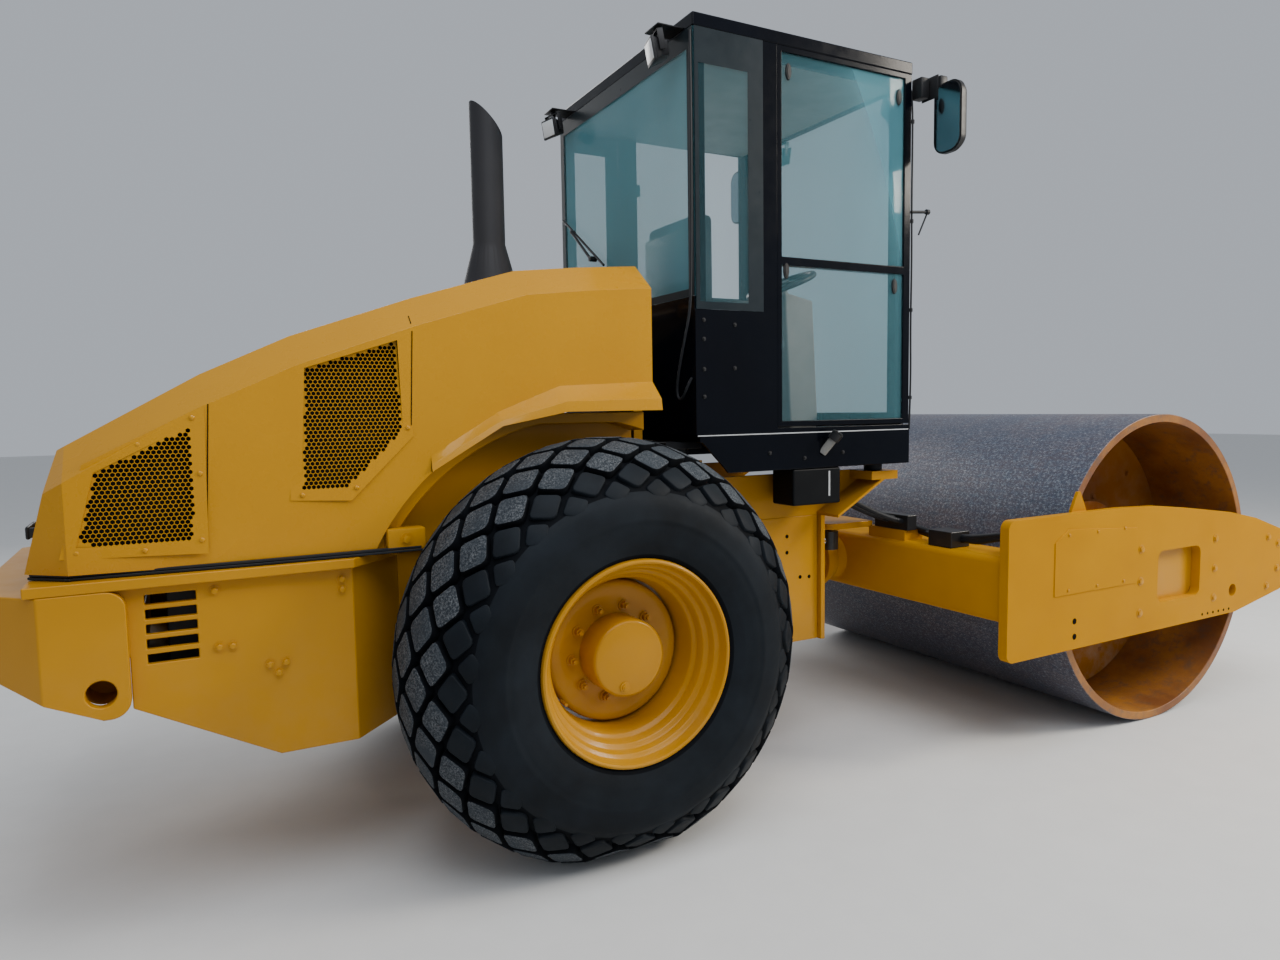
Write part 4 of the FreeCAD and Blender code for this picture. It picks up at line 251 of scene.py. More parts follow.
ochre_paint = gloss_paint("ochre_paint", (0.50, 0.228, 0.001), (0.44, 0.195, 0.001), 0.34, 0.10,
                          dust=0.10)
yoke_paint = gloss_paint("yoke_paint", (0.50, 0.225, 0.001), (0.44, 0.190, 0.001), 0.46, 0.0,
                         dust=0.03, peel=0.10, shine=0.05)
hood_paint = gloss_paint("hood_paint", (0.52, 0.240, 0.002), (0.48, 0.215, 0.001), 0.28, 0.22,
                         dust_top=0.9, dust=0.06)
drum_bay_paint = gloss_paint("drum_bay_paint", (0.40, 0.150, 0.006), (0.24, 0.070, 0.004),
                             0.5, 0.05, dust_top=1.6, dust=0.5)
cab_black = gloss_paint("cab_black", (0.0015, 0.002, 0.004), (0.002, 0.003, 0.006), 0.16, 0.06,
                        dust_top=1.6, dust=0.01, peel=0.22, shine=0.12)
stack_black = gloss_paint("stack_black", (0.020, 0.021, 0.025), (0.035, 0.034, 0.036), 0.5, 0.0,
                          dust=0.1)
cylinder_black = gloss_paint("cylinder_black", (0.012, 0.012, 0.013), (0.02, 0.02, 0.02), 0.35, 0.3)
print("paints:", ochre_paint.name, hood_paint.name, cab_black.name)

# %% Rubber, steel, plastic, cloth and glass
def plain_finish(name, colour, shade, rough, metal=0.0, grain=300.0, bump=0.15, depth=0.0004,
                 shine=0.3):
    """Plastic, cloth or bare metal: fine grain and a slow drift between two shades."""
    made, tree, shader = new_material(name)
    drift = blend_colours(tree, ramp(tree, noise(tree, 6.0, 5.0), 0.3, 0.75), colour, shade)
    tree.links.new(drift, shader.inputs["Base Color"])
    spread = combine(tree, "MULTIPLY", noise(tree, 30.0, 3.0), 0.15)
    tree.links.new(combine(tree, "ADD", spread, rough - 0.07), shader.inputs["Roughness"])
    dial(shader, Metallic=metal, Specular_IOR_Level=shine)
    roughen(tree, shader, noise(tree, grain, 3.0), bump, depth)
    return made


tyre_rubber = plain_finish("tyre_rubber", (0.0025, 0.004, 0.006), (0.008, 0.012, 0.017), 0.62,
                           grain=160.0, bump=0.3, depth=0.0008, shine=0.16)
trim_rubber = plain_finish("trim_rubber", (0.007, 0.008, 0.010), (0.015, 0.016, 0.019), 0.5)
black_plastic = plain_finish("black_plastic", (0.010, 0.010, 0.011), (0.018, 0.018, 0.019), 0.42)
grey_plastic = plain_finish("grey_plastic", (0.20, 0.195, 0.18), (0.26, 0.25, 0.23), 0.5)
bottle_black = plain_finish("bottle_black", (0.0025, 0.003, 0.004), (0.005, 0.006, 0.007), 0.45,
                            shine=0.12)
seat_cloth = plain_finish("seat_cloth", (0.030, 0.031, 0.034), (0.055, 0.056, 0.060), 0.85,
                          grain=700.0, bump=0.6, depth=0.0008)
# near-black rubber between the lugs: painted shade in the grooves
groove_rubber = plain_finish("groove_rubber", (0.0012, 0.0018, 0.003), (0.003, 0.004, 0.006), 0.8,
                             shine=0.1)
# near-black finish that stands for shade: painted shade inside the hood, behind the grilles, in joints
# and in holes
bay_dark = plain_finish("bay_dark", (0.004, 0.004, 0.004), (0.010, 0.008, 0.005), 0.85, shine=0.05)
chrome = plain_finish("chrome", (0.75, 0.76, 0.78), (0.70, 0.71, 0.73), 0.14, metal=1.0, bump=0.02)
iron = plain_finish("iron", (0.06, 0.058, 0.055), (0.09, 0.085, 0.08), 0.6, metal=0.5)
mirror_glass = plain_finish("mirror_glass", (0.26, 0.29, 0.32), (0.26, 0.29, 0.32), 0.08,
                            metal=1.0, bump=0.0)
lamp_glass = plain_finish("lamp_glass", (0.62, 0.66, 0.68), (0.75, 0.78, 0.80), 0.15, bump=0.4,
                          grain=90.0, depth=0.002)


def worn_lug():
    """Rubber of the lug tops, ground to a grey, stony speckle."""
    made, tree, shader = new_material("worn_lug")
    speckle = ramp(tree, noise(tree, 150.0, 7.0, 0.85), 0.47, 0.66, (0.016, 0.022, 0.029),
                   (0.20, 0.21, 0.22))
    patches = ramp(tree, noise(tree, 7.0, 3.0), 0.30, 0.55)
    tree.links.new(blend_colours(tree, patches, (0.030, 0.038, 0.047), speckle),
                   shader.inputs["Base Color"])
    dial(shader, Roughness=0.78, Specular_IOR_Level=0.2)
    roughen(tree, shader, noise(tree, 260.0, 4.0), 0.6, 0.002)
    return made


def tinted_glass(name, colour, alpha):
    """Nearly clear when looked through squarely, more of a mirror at a slant."""
    made, tree, shader = new_material(name)
    dial(shader, Base_Color=(*colour, 1), Roughness=0.02, Specular_IOR_Level=0.6)
    slant = add(tree, "ShaderNodeFresnel", IOR=1.4)
    mirror = combine(tree, "MULTIPLY", slant.outputs["Fac"], 0.5)
    tree.links.new(combine(tree, "ADD", mirror, alpha), shader.inputs["Alpha"])
    made.surface_render_method = "BLENDED"
    return made


worn_rubber = worn_lug()
cab_glass = tinted_glass("cab_glass", (0.20, 0.52, 0.60), 0.045)
print_band = plain_finish("print_band", (0.012, 0.018, 0.022), (0.020, 0.027, 0.032), 0.30,
                          bump=0.0, shine=0.12)
# pale grey: the bottle's level slot, and a painted highlight along the skirt's edge
white_mark = plain_finish("white_mark", (0.42, 0.43, 0.44), (0.50, 0.51, 0.52), 0.5, bump=0.0)
floor_data.materials.append(
    plain_finish("floor_finish", (0.66, 0.66, 0.65), (0.69, 0.69, 0.68), 0.8, bump=0.0))
print(len(bpy.data.materials), "materials")

# %% [markdown]
# ## Making pieces
#
# A new piece is modelled in a bmesh and then handed over with the body it rides on, its finishes
# and the CAD nodes it stands for. Steel plates keep the shape of their CAD node: a merged copy gets
# rounded edges, because a real welded frame has no razor edges, and the highlights on those edges
# are what makes it look like thick plate.

# %% Helpers for pieces
def hand_over(name, bm, body, materials, replaces=(), round_edges=0.0, smooth=35.0):
    """Turns a bmesh into a piece that rides on a body, or on none where it lies between two."""
    for face in bm.faces:
        face.smooth = True
    for edge in bm.edges:
        if len(edge.link_faces) == 2 and edge.calc_face_angle(0.0) > math.radians(smooth):
            edge.smooth = False
    data = bpy.data.meshes.new(name)
    bm.to_mesh(data)
    bm.free()
    for one in materials:
        data.materials.append(one)
    piece = linked(name, data)
    if round_edges:
        rounding = piece.modifiers.new("rounded_edges", "BEVEL")
        rounding.width = round_edges
        rounding.segments = 2
        rounding.limit_method = "ANGLE"
        rounding.angle_limit = math.radians(smooth)
        rounding.harden_normals = True
    if body:
        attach(piece, body)
    if replaces:
        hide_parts(*replaces)
    return piece


def merged_copy(name):
    """Bmesh of a CAD node with its triangles joined into whole faces."""
    bm = bmesh.new()
    bm.from_mesh(NODES[name].data)
    bmesh.ops.remove_doubles(bm, verts=bm.verts, dist=1e-5)
    bmesh.ops.dissolve_limit(bm, angle_limit=math.radians(0.4), verts=bm.verts, edges=bm.edges,
                             delimit={"NORMAL"})
    return bm


def rounded_node(name, body, material, width=0.003):
    """The CAD node's own shape with rounded edges."""
    return hand_over(f"{name}_body", merged_copy(name), body, [material], [name], width)


def stamp(target, source, matrix=Matrix.Identity(4)):
    """Adds a copy of a mesh to a bmesh, moved by a matrix."""
    copy = source.copy()
    copy.transform(matrix)
    target.from_mesh(copy)
    bpy.data.meshes.remove(copy)


def kept_mesh(name, bm):
    """Mesh of a bmesh, to be stamped once or many times."""
    data = bpy.data.meshes.new(name)
    bm.to_mesh(data)
    bm.free()
    return data


def facing_out(side):
    """Turns what is modelled along -Y to the machine's left where side is 1."""
    return Matrix.Rotation(0 if side < 0 else math.pi, 4, "Z")


def verts_in(made):
    """Corners among what an operator made."""
    return [item for item in made if isinstance(item, bmesh.types.BMVert)]


def edges_at(verts):
    """Edges that meet at corners."""
    return list({edge for vert in verts for edge in vert.link_edges})


def colour_faces(verts, material):
    for face in {face for vert in verts for face in vert.link_faces}:
        face.material_index = material


def rounded(bm, geom, size, segments=2, affect="EDGES", clamp=False):
    """Rounds edges, or the corners of a flat face."""
    return bmesh.ops.bevel(bm, geom=geom, offset=size, offset_type="OFFSET", segments=segments,
                           profile=0.5, affect=affect, material=-1, clamp_overlap=clamp)


def new_box(bm, *spans):
    """Box between two places on each axis: its corners, its size and its middle."""
    spans = [sorted(span) for span in spans]
    verts = bmesh.ops.create_cube(bm, size=1.0)["verts"]
    size = Vector([high - low for low, high in spans])
    middle = Vector([(low + high) / 2 for low, high in spans])
    bmesh.ops.scale(bm, vec=size, verts=verts)
    bmesh.ops.translate(bm, vec=middle, verts=verts)
    return verts, size, middle


def block(bm, x, y, z, bevel=0.0, material=0):
    """Box with rounded edges between two places on each axis."""
    made = new_box(bm, x, y, z)[0]
    colour_faces(made, material)
    if bevel:
        rounded(bm, edges_at(made), bevel, clamp=True)


def rod(bm, start, end, radius, segments=16, material=0, end_radius=None):
    """Closed cylinder or cone between two points."""
    start, end = Vector(start), Vector(end)
    axis = end - start
    made = bmesh.ops.create_cone(bm, cap_ends=True, segments=segments, radius1=radius,
                                 radius2=radius if end_radius is None else end_radius,
                                 depth=axis.length)["verts"]
    turn = axis.to_track_quat("Z", "Y").to_matrix().to_4x4()
    bmesh.ops.transform(bm, matrix=Matrix.Translation((start + end) / 2) @ turn, verts=made)
    colour_faces(made, material)


def lathe(bm, profile, centre, steps, side=1):
    """Spins (radius, y) points about an axis along Y; side -1 turns the profile round."""
    verts = [bm.verts.new((centre[0], side * y, centre[1] + radius)) for radius, y in profile]
    edges = [bm.edges.new(pair) for pair in zip(verts, verts[1:])]
    bmesh.ops.spin(bm, geom=verts + edges, cent=(centre[0], 0, centre[1]), axis=(0, 1, 0),
                   dvec=(0, 0, 0), angle=2 * math.pi, steps=steps, use_merge=True)
    bmesh.ops.remove_doubles(bm, verts=bm.verts, dist=1e-5)
    bmesh.ops.recalc_face_normals(bm, faces=bm.faces)


def turned(name, steps):
    """Bolt or nut along -Y, from rows of start, end, radius, corners and radius at the end."""
    bm = bmesh.new()
    for start, end, radius, corners, end_radius in steps:
        rod(bm, (0, start, 0), (0, end, 0), radius, corners, end_radius=end_radius)
    return kept_mesh(name, bm)


def bolt_mesh(name, radius, height, washer):
    """Hexagon head on a washer, with the bolt's end showing."""
    return turned(name, ((0, -washer, radius * 1.45, 20, None),
                         (-washer, -washer - height, radius, 6, None),
                         (-washer - height, -washer - height * 1.2, radius * 0.82, 12, radius * 0.6)))


def bolted(bm, mesh, places, wall, sides=(-1, 1)):
    """Bolt heads on the walls of the machine, at stations and heights."""
    for side in sides:
        for x, z in places:
            stamp(bm, mesh, Matrix.Translation((along(x), side * wall, z)) @ facing_out(side))


DOME_BOLT = turned("dome_bolt", ((0.001, -0.00275, 0.0075, 16, None),
                                 (-0.00275, -0.0055, 0.0075, 16, 0.004125)))
BOLT = bolt_mesh("bolt_head", 0.011, 0.008, 0.003)
SMALL_BOLT = bolt_mesh("small_bolt_head", 0.006, 0.004, 0.002)
BIG_BOLT = bolt_mesh("big_bolt_head", 0.015, 0.006, 0.002)
print("bolt head:", len(BOLT.polygons), "faces")

# %% [markdown]
# ## Tyres
#
# Flotation tyres: rows of diamond lugs laid round a crown that is nearly half a circle, fading out
# over the shoulder, and a smooth sidewall with a few rings. The carcass is a profile spun round the
# axle. One lug, a tapered block with rounded corners, is stamped along each row, tipped to stand
# square on the crown. The lowest part moves up to the ground, as on a tyre that carries a load.
# The lug tops get their own finish, because the ground wears them pale.

# %% Tyre carcass, lugs and the loaded flat
AXLE = (AXLE_X, AXLE_Z)
TYRE_R, TYRE_HALF = 0.762, 0.2935
TREAD_HALF = 0.262  # half width in which the ground between the lugs is painted darker, as painted shade in the grooves
WALL_R, TREAD_R = 0.60, 0.72  # the load moves the tyre from the first radius, and fully at the second
CROWN_DEEP = 0.270
CROWN_END = 0.425  # along the crown, where it meets the wall
CROWN_STEPS = 24
GROOVE_END, GROOVE_FADE = 0.375, 0.12  # where the ground between the lugs rises to the shoulder
LUG_DEEP = 0.028
LUG_HALF = (0.084, 0.0555)
LUG_PITCHES = 24
LUG_ROOT = 0.010  # how far a lug reaches below the ground between the lugs
LUG_CORNER, LUG_EDGE = 0.020, 0.004
CARCASS, WORN, GROUND = 0, 1, 2  # places of the finishes
TYRE_Y = abs(JOINTS["wheel_right_spin"]["pos_m"][1])
CROWN_MEAN = (TYRE_HALF + CROWN_DEEP) / 2
LUG_ROWS = [  # place along the crown, half pitch or not, size, drop below the crown, worn or not
    (0.0, 0.0, 1.0, 0.0, True), (0.068, 0.5, 1.0, 0.0, True), (0.136, 0.0, 1.0, 0.0, True),
    (0.204, 0.5, 1.0, 0.001, True), (0.270, 0.0, 0.94, 0.005, False),
    (0.328, 0.5, 0.78, 0.0065, False),
]


def on_crown(place):
    """Radius, place across and tilt of the crown at a place along it."""
    turn = place / CROWN_MEAN
    tilt = math.atan2(CROWN_DEEP * math.sin(turn), TYRE_HALF * math.cos(turn))
    return TYRE_R - CROWN_DEEP * (1 - math.cos(turn)), TYRE_HALF * math.sin(turn), tilt


def tyre_profile():
    """Radius and place across, from one bead over the crown to the other."""
    wall = [(0.362, 0.256), (0.376, 0.266), (0.392, 0.268), (0.410, 0.279), (0.424, 0.280),
            (0.446, 0.288), (0.470, 0.2905), (0.486, 0.2915), (0.492, 0.2935), (0.499, 0.2915)]
    tread = []
    for number in range(1, CROWN_STEPS + 1):
        place = CROWN_END - CROWN_END * number / CROWN_STEPS
        radius, across, tilt = on_crown(place)
        deep = LUG_DEEP * min(1.0, max(0.0, (GROOVE_END - place) / GROOVE_FADE))
        deep += 0.002 if number == 2 else 0.0  # shallow ring on the shoulder
        tread.append((radius - deep * math.cos(tilt), across - deep * math.sin(tilt)))
    half = wall + tread
    return half + [(radius, -across) for radius, across in reversed(half[:-1])]


def lug_mesh(top, flank):
    """Diamond block standing along +Z, with a finish for its top and one for its flanks."""
    bm = bmesh.new()
    bmesh.ops.create_circle(bm, cap_ends=True, segments=4, radius=1.0)
    bmesh.ops.scale(bm, vec=(LUG_HALF[0] * 1.07, LUG_HALF[1] * 1.08, 1.0), verts=bm.verts)
    rounded(bm, list(bm.verts), LUG_CORNER, affect="VERTICES")
    bmesh.ops.translate(bm, vec=(0, 0, -LUG_DEEP - LUG_ROOT), verts=bm.verts)
    high = verts_in(bmesh.ops.extrude_face_region(bm, geom=list(bm.faces))["geom"])
    bmesh.ops.translate(bm, vec=(0, 0, LUG_DEEP + LUG_ROOT), verts=high)
    bmesh.ops.scale(bm, vec=(0.94, 0.93, 1.0), verts=high)
    bmesh.ops.recalc_face_normals(bm, faces=list(bm.faces))
    rim = [edge for edge in bm.edges if all(vert.co.z > -0.01 for vert in edge.verts)]
    rounded(bm, rim, LUG_EDGE)
    bottom = [face for face in bm.faces if face.normal.z < -0.9]
    bmesh.ops.delete(bm, geom=bottom, context="FACES")
    for face in bm.faces:
        face.material_index = top if face.normal.z > 0.9 else flank
    return kept_mesh("tyre_lug", bm)


def settle(bm, centre):
    """Presses the lowest part of the tyre up to the ground."""
    for vert in bm.verts:
        dx, dz = vert.co.x - centre[0], vert.co.z - centre[1]
        radius = math.hypot(dx, dz)
        down = -dz / radius
        if down <= 0.0:
            continue
        squeeze = max(0.0, TYRE_R - centre[1] / down)
        weight = min(1.0, max(0.0, (radius - WALL_R) / (TREAD_R - WALL_R)))
        factor = (radius - squeeze * weight) / radius
        vert.co.x, vert.co.z = centre[0] + dx * factor, max(0.0, centre[1] + dz * factor)


def tyre(name, side):
    bm = bmesh.new()
    lathe(bm, [(radius, TYRE_Y + y) for radius, y in tyre_profile()], AXLE, 120, side)
    # the ground between the lugs and the flanks of the worn lugs take the darker rubber: painted shade
    # in the grooves
    for face in bm.faces:
        if abs(face.calc_center_median().y - side * TYRE_Y) < TREAD_HALF:
            face.material_index = GROUND
    worn_one, dark_one = lug_mesh(WORN, GROUND), lug_mesh(CARCASS, CARCASS)
    for place, shift, size, drop, worn in LUG_ROWS:
        for hand in ((1, -1) if place else (1,)):
            radius, across, tilt = on_crown(place * hand)
            for number in range(LUG_PITCHES):
                turn = (number + shift) * 2 * math.pi / LUG_PITCHES
                stand = (Matrix.Translation((AXLE_X, 0, AXLE_Z)) @ Matrix.Rotation(turn, 4, "Y")
                         @ Matrix.Translation((0, side * (TYRE_Y + across), radius))
                         @ Matrix.Rotation(-side * tilt, 4, "X") @ Matrix.Translation((0, 0, -drop))
                         @ Matrix.Diagonal((size * radius / TYRE_R, size, 1, 1)))
                stamp(bm, worn_one if worn else dark_one, stand)
    settle(bm, AXLE)
    body = name.replace("tyre", "wheel")
    return hand_over(f"{name}_lugged", bm, body,
                     [tyre_rubber, worn_rubber, groove_rubber], [name], smooth=50)


for name, side in (("tyre_right", -1), ("tyre_left", 1)):
    made = tyre(name, side)
    print(made.name, len(made.data.polygons), "faces")

# %% [markdown]
# ## Wheels
#
# A deep-dished wheel: a rolled lip, three stepped rings down into the barrel, and a disc set well
# inside with ten stud nuts round a hub cap with one plug. The barrel and the disc are separate
# profiles spun round the axle, so the dark gap between them stays.

# %% Rims, nuts and hub caps
RIM_FACE = TYRE_Y + 0.268
RIM_PROFILE = [  # radius, depth from the outer lip
    (0.344, 0.045), (0.352, 0.040), (0.360, 0.026), (0.3605, 0.012), (0.357, 0.003), (0.350, 0.0),
    (0.344, 0.003), (0.341, 0.012), (0.338, 0.036), (0.333, 0.044), (0.324, 0.047), (0.320, 0.052),
    (0.318, 0.074), (0.313, 0.081), (0.302, 0.084), (0.297, 0.090), (0.294, 0.118), (0.290, 0.126),
    (0.281, 0.130), (0.276, 0.138), (0.273, 0.178), (0.266, 0.190), (0.264, 0.240), (0.266, 0.330),
    (0.300, 0.380), (0.326, 0.400), (0.330, 0.500), (0.338, 0.516), (0.357, 0.522), (0.360, 0.532),
]
DISC_DEEP, HUB_DEEP = 0.212, 0.088
DISC_PROFILE = [(0.255, 0.250), (0.255, 0.222), (0.252, 0.213), (0.246, 0.208), (0.236, 0.206),
                (0.210, 0.206), (0.196, 0.210), (0.150, DISC_DEEP), (0.120, DISC_DEEP)]
HUB_PROFILE = [(0.136, 0.214), (0.136, 0.100), (0.134, 0.095), (0.129, 0.090),
               (0.124, HUB_DEEP), (0.0, HUB_DEEP)]
STUD_CIRCLE = 0.166
STUD_COUNT = 10
STUD_NUT = turned("stud_nut", ((0.004, -0.006, 0.021, 20, None), (-0.006, -0.024, 0.0155, 6, None),
                               (-0.024, -0.036, 0.0085, 12, None)))


def wheel(name, side):
    bm = bmesh.new()
    for profile in (RIM_PROFILE, DISC_PROFILE, HUB_PROFILE):
        part = bmesh.new()
        lathe(part, [(radius, RIM_FACE - depth) for radius, depth in profile], AXLE, 96, side)
        if profile is not HUB_PROFILE:
            bmesh.ops.solidify(part, geom=part.faces[:], thickness=0.006)
        stamp(bm, kept_mesh("spun_part", part))
    for number in range(STUD_COUNT):
        turn = math.radians(4) + number * 2 * math.pi / STUD_COUNT
        place = (AXLE_X + STUD_CIRCLE * math.cos(turn), side * (RIM_FACE - DISC_DEEP),
                 AXLE_Z + STUD_CIRCLE * math.sin(turn))
        stamp(bm, STUD_NUT, Matrix.Translation(place) @ facing_out(side))
    hub_face = side * (RIM_FACE - HUB_DEEP)
    plug_x, plug_z = AXLE_X - 0.022, AXLE_Z - 0.098
    for radius, tall, corners in ((0.019, 0.004, 24), (0.011, 0.008, 24), (0.006, 0.0095, 6)):
        rod(bm, (plug_x, hub_face, plug_z), (plug_x, hub_face + side * tall, plug_z), radius, corners)
    valve = (AXLE_X - 0.215, side * (RIM_FACE - 0.20), AXLE_Z - 0.145)
    rod(bm, valve, (valve[0], side * (RIM_FACE - 0.15), valve[2]), 0.006, 10)
    body = name.replace("rim", "wheel")
    return hand_over(f"{name}_detailed", bm, body, [ochre_paint], [name], 0.0015,
                     smooth=40)


for name, side in (("rim_right", -1), ("rim_left", 1)):
    made = wheel(name, side)
    print(made.name, len(made.data.polygons), "faces")

# %% [markdown]
# ## Drum
#
# One thick rolled tube: scored blue-grey steel with pale stone marks outside, rust-stained ochre
# within and at the rims. The tube keeps its CAD shape; the finish changes by radius, because the
# same steel is ground bare outside and painted inside.

# %% Drum shell and heads
DRUM_R = 0.765


def drum_shell_finish():
    """Steel beyond the drum's outer radius, ochre within it."""
    made, tree, shader = new_material("drum_shell_finish")
    split = add(tree, "ShaderNodeSeparateXYZ")
    tree.links.new(place_of(tree), split.inputs["Vector"])
    flat = add(tree, "ShaderNodeCombineXYZ")
    for axis, middle in (("X", DRUM_X), ("Z", DRUM_Z)):
        shifted = add(tree, "ShaderNodeMath", operation="SUBTRACT")
        tree.links.new(split.outputs[axis], shifted.inputs[0])
        shifted.inputs[1].default_value = middle
        tree.links.new(shifted.outputs["Value"], flat.inputs[axis])
    far = add(tree, "ShaderNodeVectorMath", operation="LENGTH")
    tree.links.new(flat.outputs["Vector"], far.inputs[0])
    outside = ramp(tree, far.outputs["Value"], DRUM_R - 0.004, DRUM_R - 0.001)
    scores = noise(tree, 30.0, 8.0, 0.75, (1.0, 5.0, 1.0))
    steel = ramp(tree, scores, 0.35, 0.7, (0.016, 0.032, 0.064), (0.052, 0.088, 0.150))
    marks = ramp(tree, noise(tree, 110.0, 8.0, 0.9, (1.0, 0.6, 1.0)), 0.51, 0.64)
    steel = blend_colours(tree, marks, steel, (0.38, 0.44, 0.50))
    rusty = ramp(tree, noise(tree, 2.4, 6.0, 0.65), 0.36, 0.62)
    ochre = blend_colours(tree, rusty, (0.36, 0.145, 0.02), (0.17, 0.058, 0.014))
    grime = ramp(tree, noise(tree, 16.0, 7.0, 0.75), 0.50, 0.72)
    ochre = blend_colours(tree, grime, ochre, (0.10, 0.065, 0.045))
    tree.links.new(blend_colours(tree, outside, ochre, steel), shader.inputs["Base Color"])
    tree.links.new(combine(tree, "MULTIPLY", outside, 0.35), shader.inputs["Metallic"])
    tree.links.new(combine(tree, "ADD", combine(tree, "MULTIPLY", scores, 0.3), 0.32),
                   shader.inputs["Roughness"])
    roughen(tree, shader, noise(tree, 150.0, 7.0, 0.8), 0.45, 0.0012)
    return made


rounded_node("drum_shell", "drum", drum_shell_finish(), 0.004)
rounded_node("drum_heads", "drum", drum_bay_paint, 0.003)
print("drum radius", DRUM_R)

# %% [markdown]
# ## Steel plate work
#
# Frames, bumper, yoke, beams, hitch and fenders are welded plate. Each keeps its CAD shape, with
# its edges rounded. The steering rods are chrome with painted eyes, and the yoke's covers are made
# thinner than in the CAD. Bolts follow as pieces of their own.

# %% Plates with rounded edges
PLATE_WORK = [  # nodes, body, slot, finish, edge radius
    ("rear_frame front_frame front_plate", "tractor", "yellow_paint", ochre_paint, 0.004),
    ("cab_deck", "tractor", "yellow_paint", ochre_paint, 0.003),
    ("cab_mounts", "tractor", "mount_rubber", trim_rubber, 0.003),
    ("cylinder_anchors", "tractor", "yellow_paint", ochre_paint, 0.002),
    ("rear_bumper", "tractor", "yellow_paint", ochre_paint, 0.005),
    ("inner_fenders", "tractor", "yellow_paint", ochre_paint, 0.004),
    ("rear_axle", "tractor", "axle_iron", ochre_paint, 0.004),
    ("hitch_fork", "tractor", "yellow_paint", ochre_paint, 0.004),
    ("hitch_block steering_plate", "hitch", "yellow_paint", ochre_paint, 0.004),
    ("steering_barrel_right", "barrel_right", "cylinder_paint", cylinder_black, 0.002),
    ("steering_barrel_left", "barrel_left", "cylinder_paint", cylinder_black, 0.002),
    ("yoke_rear_beam yoke_front_beam", "yoke", "yellow_paint", yoke_paint, 0.004),
    ("hose_clamps", "yoke", "cylinder_paint", cylinder_black, 0.004),
    ("drum_carriers", "yoke", "carrier_paint", ochre_paint, 0.004),
    ("scrapers", "yoke", "yellow_paint", ochre_paint, 0.003),
    ("engine_block", "tractor", "engine_iron", iron, 0.010),
    ("radiator", "tractor", "radiator_alloy", iron, 0.006),
]


def rounded_nodes(rows):
    """CAD nodes that only get rounded edges and a finish."""
    for names, body, slot, finish, radius in rows:
        for name in names.split():
            rounded_node(name, body, finish, radius)


rounded_nodes(PLATE_WORK)
print(len(PLATE_WORK), "rows of plate work")

# %% Steering rods with painted eyes
EYE_LONG = 0.110
for hand in ("right", "left"):
    node_name = f"steering_rod_{hand}"
    steering_rod = merged_copy(node_name)
    eye_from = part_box(node_name)[1].x - EYE_LONG
    for face in steering_rod.faces:
        face.material_index = 1 if face.calc_center_median().x > eye_from else 0
    hand_over(f"{node_name}_body", steering_rod, f"rod_{hand}",
              [chrome, cylinder_black], [node_name], 0.001)
print("rod eyes from", eye_from)

# %% Yoke plates with thin covers
COVER_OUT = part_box("yoke_sides")[1].y
THIN_COVER = 0.006
plates = merged_copy("yoke_sides")
for vert in plates.verts:
    if abs(vert.co.y) > COVER_OUT - 0.001:
        vert.co.y = math.copysign(COVER_OUT - THIN_COVER, vert.co.y)
hand_over("yoke_plates", plates, "yoke", [yoke_paint], ["yoke_sides"], 0.004)
print("cover face at", COVER_OUT - THIN_COVER)

# %% [markdown]
# ## Hood
#
# One moulded shell hinged at the cab. Its long creases are broad and soft, which is what tells it
# from the plate work below, so the outer creases of the merged CAD copy are bevelled widely first
# and the rest gets a small radius. The inner faces are near-black: a dark lining, with painted
# shade of the engine bay behind them.

# %% Hood shell with soft creases
hood = merged_copy("hood_shell")
bmesh.ops.recalc_face_normals(hood, faces=hood.faces)
HOOD_AXIS_Z = 1.35
CREASE_LEAST, CREASE_MOST = math.radians(9), math.radians(80)
CREASE_LOW, CREASE_LONG, CREASE_RUN = 1.40, 0.08, 0.06


def faces_out(face):
    """Whether a face of the hood looks away from its lengthwise axis."""
    middle = face.calc_center_median()
    return face.normal.dot(Vector((0, middle.y, middle.z - HOOD_AXIS_Z))) > 0


def is_crease(edge):
    """Whether an edge is one of the long outer creases above the arch."""
    first, second = [vert.co for vert in edge.verts]
    return (len(edge.link_faces) == 2 and CREASE_LEAST < edge.calc_face_angle(0.0) < CREASE_MOST
            and all(faces_out(face) for face in edge.link_faces)
            and abs(first.x - second.x) > CREASE_RUN
            and first.z > CREASE_LOW and edge.calc_length() > CREASE_LONG)


weight = hood.edges.layers.float.new("bevel_weight_edge")
creases = [edge for edge in hood.edges if is_crease(edge)]
for edge in creases:
    edge[weight] = 1.0
print(len(creases), "outer creases of", len(hood.edges))
# inner faces take the near-black finish: a dark lining with painted shade of the engine bay
for face in hood.faces:
    face.material_index = 0 if faces_out(face) else 1
hood_piece = hand_over("hood_shell_body", hood, "hood", [hood_paint, bay_dark],
                       ["hood_shell"], smooth=40)
for label, width, segments, method in (("soft_creases", 0.030, 4, "WEIGHT"),
                                       ("rounded_edges", 0.004, 2, "ANGLE")):
    rounding = hood_piece.modifiers.new(label, "BEVEL")
    rounding.width = width
    rounding.segments = segments
    rounding.limit_method = method
    rounding.angle_limit = math.radians(30)
hood_piece.modifiers.new("flat_faces", "WEIGHTED_NORMAL").keep_sharp = True

# %% [markdown]
# ## Grilles
#
# The grilles are punched sheet: round holes on a staggered grid. The sheet is one hexagon with a
# hexagonal hole, repeated in rows, cut to the outline of the opening with planes and pressed onto
# the hood, with a near-black sheet behind it as painted shade of the bay. Real holes read better
# than a pattern, because their edges catch the light and the dark sheet shows through them at an angle.

